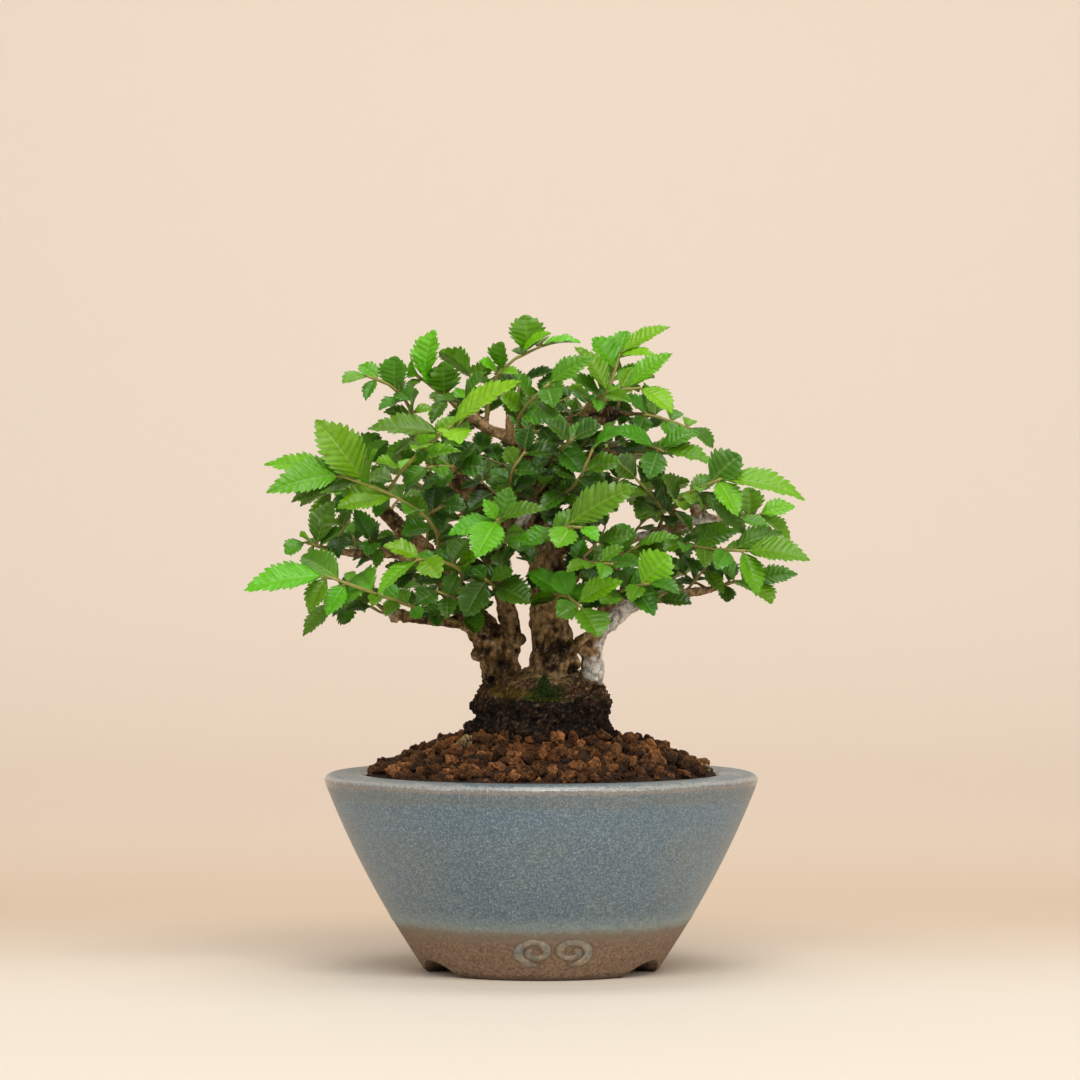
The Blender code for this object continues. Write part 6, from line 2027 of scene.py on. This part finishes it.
def glaze_material():
    """Blue-grey flecked glaze over a brown clay foot, with a paler edge where the glaze ends, a pale rim edge
    that is partly a painted highlight, and painted shade along the foot's bottom edge.
    """
    surface = Surface("blue_grey_glaze", 0.4, 0.6)
    wobble = surface.maths("MULTIPLY", surface.noise(110.0, 5.0, 0.65), EDGE_WOBBLE * MM)
    height = surface.maths("SUBTRACT", surface.axes()["Z"], wobble)
    height = surface.maths("MULTIPLY_ADD", surface.noise(1300.0, 3.0, 0.7), -EDGE_FUZZ * MM, height)
    level = surface.maths("ADD", surface.maths("MULTIPLY", height, 1 / LEVEL_SPAN), LEVEL_SHIFT)

    def band(heights, shares):
        return surface.ramp(level, list(zip(heights, shares)))

    def layered(colour, layers):
        for mask, strength, over in layers:
            if strength < 1:
                mask = surface.maths("MULTIPLY", mask, strength)
            colour = surface.mixed(mask, colour, over)
        return colour

    clouds = surface.ramp(surface.noise(45.0, 6.0, 0.65), list(zip(CLOUD_STOPS, GLAZE_CLOUDS)))
    specks = surface.ramp(surface.noise(800.0, 6.0, 0.75), SPECK_STOPS)
    glaze = layered(clouds, (
        (band(BLUE_BAND, (0.0, 1.0, 1.0, 0.0)), 0.45, GLAZE_BLUE),
        (specks, 0.5, GLAZE_DARK),
        (surface.dots(scale=2300.0, reach=0.78, share=0.95), 0.52, GLAZE_FLECK),
        (surface.dots(scale=1450.0, reach=0.5, share=0.4), 0.5, GLAZE_FLECK),
        (band(WARM_BAND, (0.0, 1.0, 0.6)), 0.35, RIM_WARM),
    ))
    clay = layered(surface.ramp(surface.noise(1100.0, 6.0, 0.75), list(zip(NOISE_ENDS, FOOT_CLAY))), (
        # Painted shade along the foot's bottom edge
        (band(FOOT_SHADE_BAND, (0.6, 0.0)), 1, FOOT_PAINTED_SHADE),
        (band(FOOT_TOP[:2], (0.0, 1.0)), 0.75, GLAZE_THIN),
    ))
    patchy = surface.ramp(surface.noise(900.0, 6.0, 0.8), PATCHY_STOPS)
    broken = surface.maths("MULTIPLY", band(PALE_BAND, (0.0, 1.0, 1.0, 0.0)), patchy)
    surface.colour(layered(clay, (
        (band(FOOT_TOP[2:], (0.0, 1.0)), 1, glaze),
        (broken, 1, GLAZE_EDGE_PALE),
        (band(RIM_BAND, (0.0, 1.0, 0.0)), 0.6, RIM_TAN),
        # The rim's pale edge: partly thin glaze, partly a painted highlight
        (band(PALE_RIM_AND_HIGHLIGHT_BAND, (0.0, 1.0, 1.0, 0.0)), 0.46, RIM_PALE_AND_HIGHLIGHT),
    )))
    surface.join(band(GLOSS_HEIGHTS, GLOSS_ROUGHNESS), surface.shader["Roughness"])
    surface.relief((surface.noise(300.0), 0.25, 0.5), (surface.noise(1700.0, 4.0, 0.75), 0.25, 0.18))
    return surface.material


# Camera, light and the plain table

def look_at(item, aim):
    away = Vector(aim) - item.location
    item.rotation_euler = away.to_track_quat("-Z", "Y").to_euler()


def make_camera():
    data = bpy.data.cameras.new("camera")
    data.lens = LENS
    data.sensor_width = 36.0
    data.clip_start = 0.01
    camera = add_object("camera", data)
    camera.location = CAMERA_AT
    look_at(camera, CAMERA_AIM)
    bpy.context.scene.camera = camera


def make_lights():
    for name, (location, aim, across, high, power, colour) in LIGHTS.items():
        data = bpy.data.lights.new(name, "AREA")
        data.shape = "ELLIPSE"
        data.size = across
        data.size_y = high
        data.energy = power
        data.color = colour
        light = add_object(name, data)
        light.location = location
        look_at(light, aim)


def stage_material():
    """A pale table whose colour turns darker and warmer further back and paler again up the backdrop: painted
    shade and light.
    """
    surface = Surface("table", 0.8, 0.2)
    axes = surface.axes()
    near = surface.node("ShaderNodeMapRange", interpolation_type="SMOOTHSTEP")
    near.inputs["From Min"].default_value = NEAR_FLOOR
    near.inputs["From Max"].default_value = FAR_FLOOR
    surface.join(axes["Y"], near.inputs["Value"])
    rise = surface.maths("MULTIPLY_ADD", axes["Z"], 2.0, axes["Y"])
    way = surface.maths("MULTIPLY", rise, 1 / WALL_SPAN)
    # Painted light and shade across the table
    stops = [(at / WALL_SPAN, blend(PAINTED_SHADED_FLOOR_FAR, PAINTED_LIT_WALL_HIGH, share)) for at, share in WALL_STEPS]
    surface.colour(surface.mixed(near.outputs["Result"], PAINTED_LIT_FLOOR_NEAR, surface.ramp(way, stops)))
    return surface.material


def make_stage():
    """A pale table that curves up into a plain backdrop."""
    profile = [(TABLE_FRONT, 0.0), (SWEEP_START, 0.0)]
    for k in range(1, SWEEP_STEPS + 1):
        angle = math.pi / 2 * k / SWEEP_STEPS
        profile.append((SWEEP_START + SWEEP_RADIUS * math.sin(angle), SWEEP_RADIUS * (1 - math.cos(angle))))
    profile.append((SWEEP_START + SWEEP_RADIUS, WALL_TOP))
    vertices = [(x, y, z) for y, z in profile for x in (-TABLE_HALF, TABLE_HALF)]
    faces = [(2 * k, 2 * k + 1, 2 * k + 3, 2 * k + 2) for k in range(len(profile) - 1)]
    mesh = bpy.data.meshes.new("table")
    mesh.from_pydata(vertices, [], faces)
    smooth_all(mesh)
    mesh.materials.append(stage_material())
    table = add_object("table", mesh)


def make_world():
    world = bpy.data.worlds.new("world")
    world.use_nodes = True
    background = world.node_tree.nodes["Background"]
    background.inputs["Color"].default_value = WORLD_COLOUR
    background.inputs["Strength"].default_value = WORLD_STRENGTH
    bpy.context.scene.world = world
    bpy.context.scene.view_settings.view_transform = "Standard"


def dress_plain_nodes():
    """Materials for the solids that stay as they are: soil, gravel, net and wire."""
    for node, values in PLAIN_LOOKS.items():
        mesh = frame["nodes"][node].data
        mesh.materials.clear()
        mesh.materials.append(mottled_material(**values))


def main():
    shoots, taken = grow()
    extra = more_leaves(shoots, taken)
    twigs = grow_twigs(taken)
    looks = [leaf_material(), stem_material()]
    make_sprays(shoots, extra, looks)
    make_twigs(twigs, looks)
    wood = make_fine_wood(shoots, bark_material())
    make_granules(granule_material())
    make_moss(wood, moss_material())
    make_fine_pot(glaze_material())
    make_scrolls(slip_material())
    dress_plain_nodes()
    make_stage()
    make_world()
    make_lights()
    make_camera()


main()
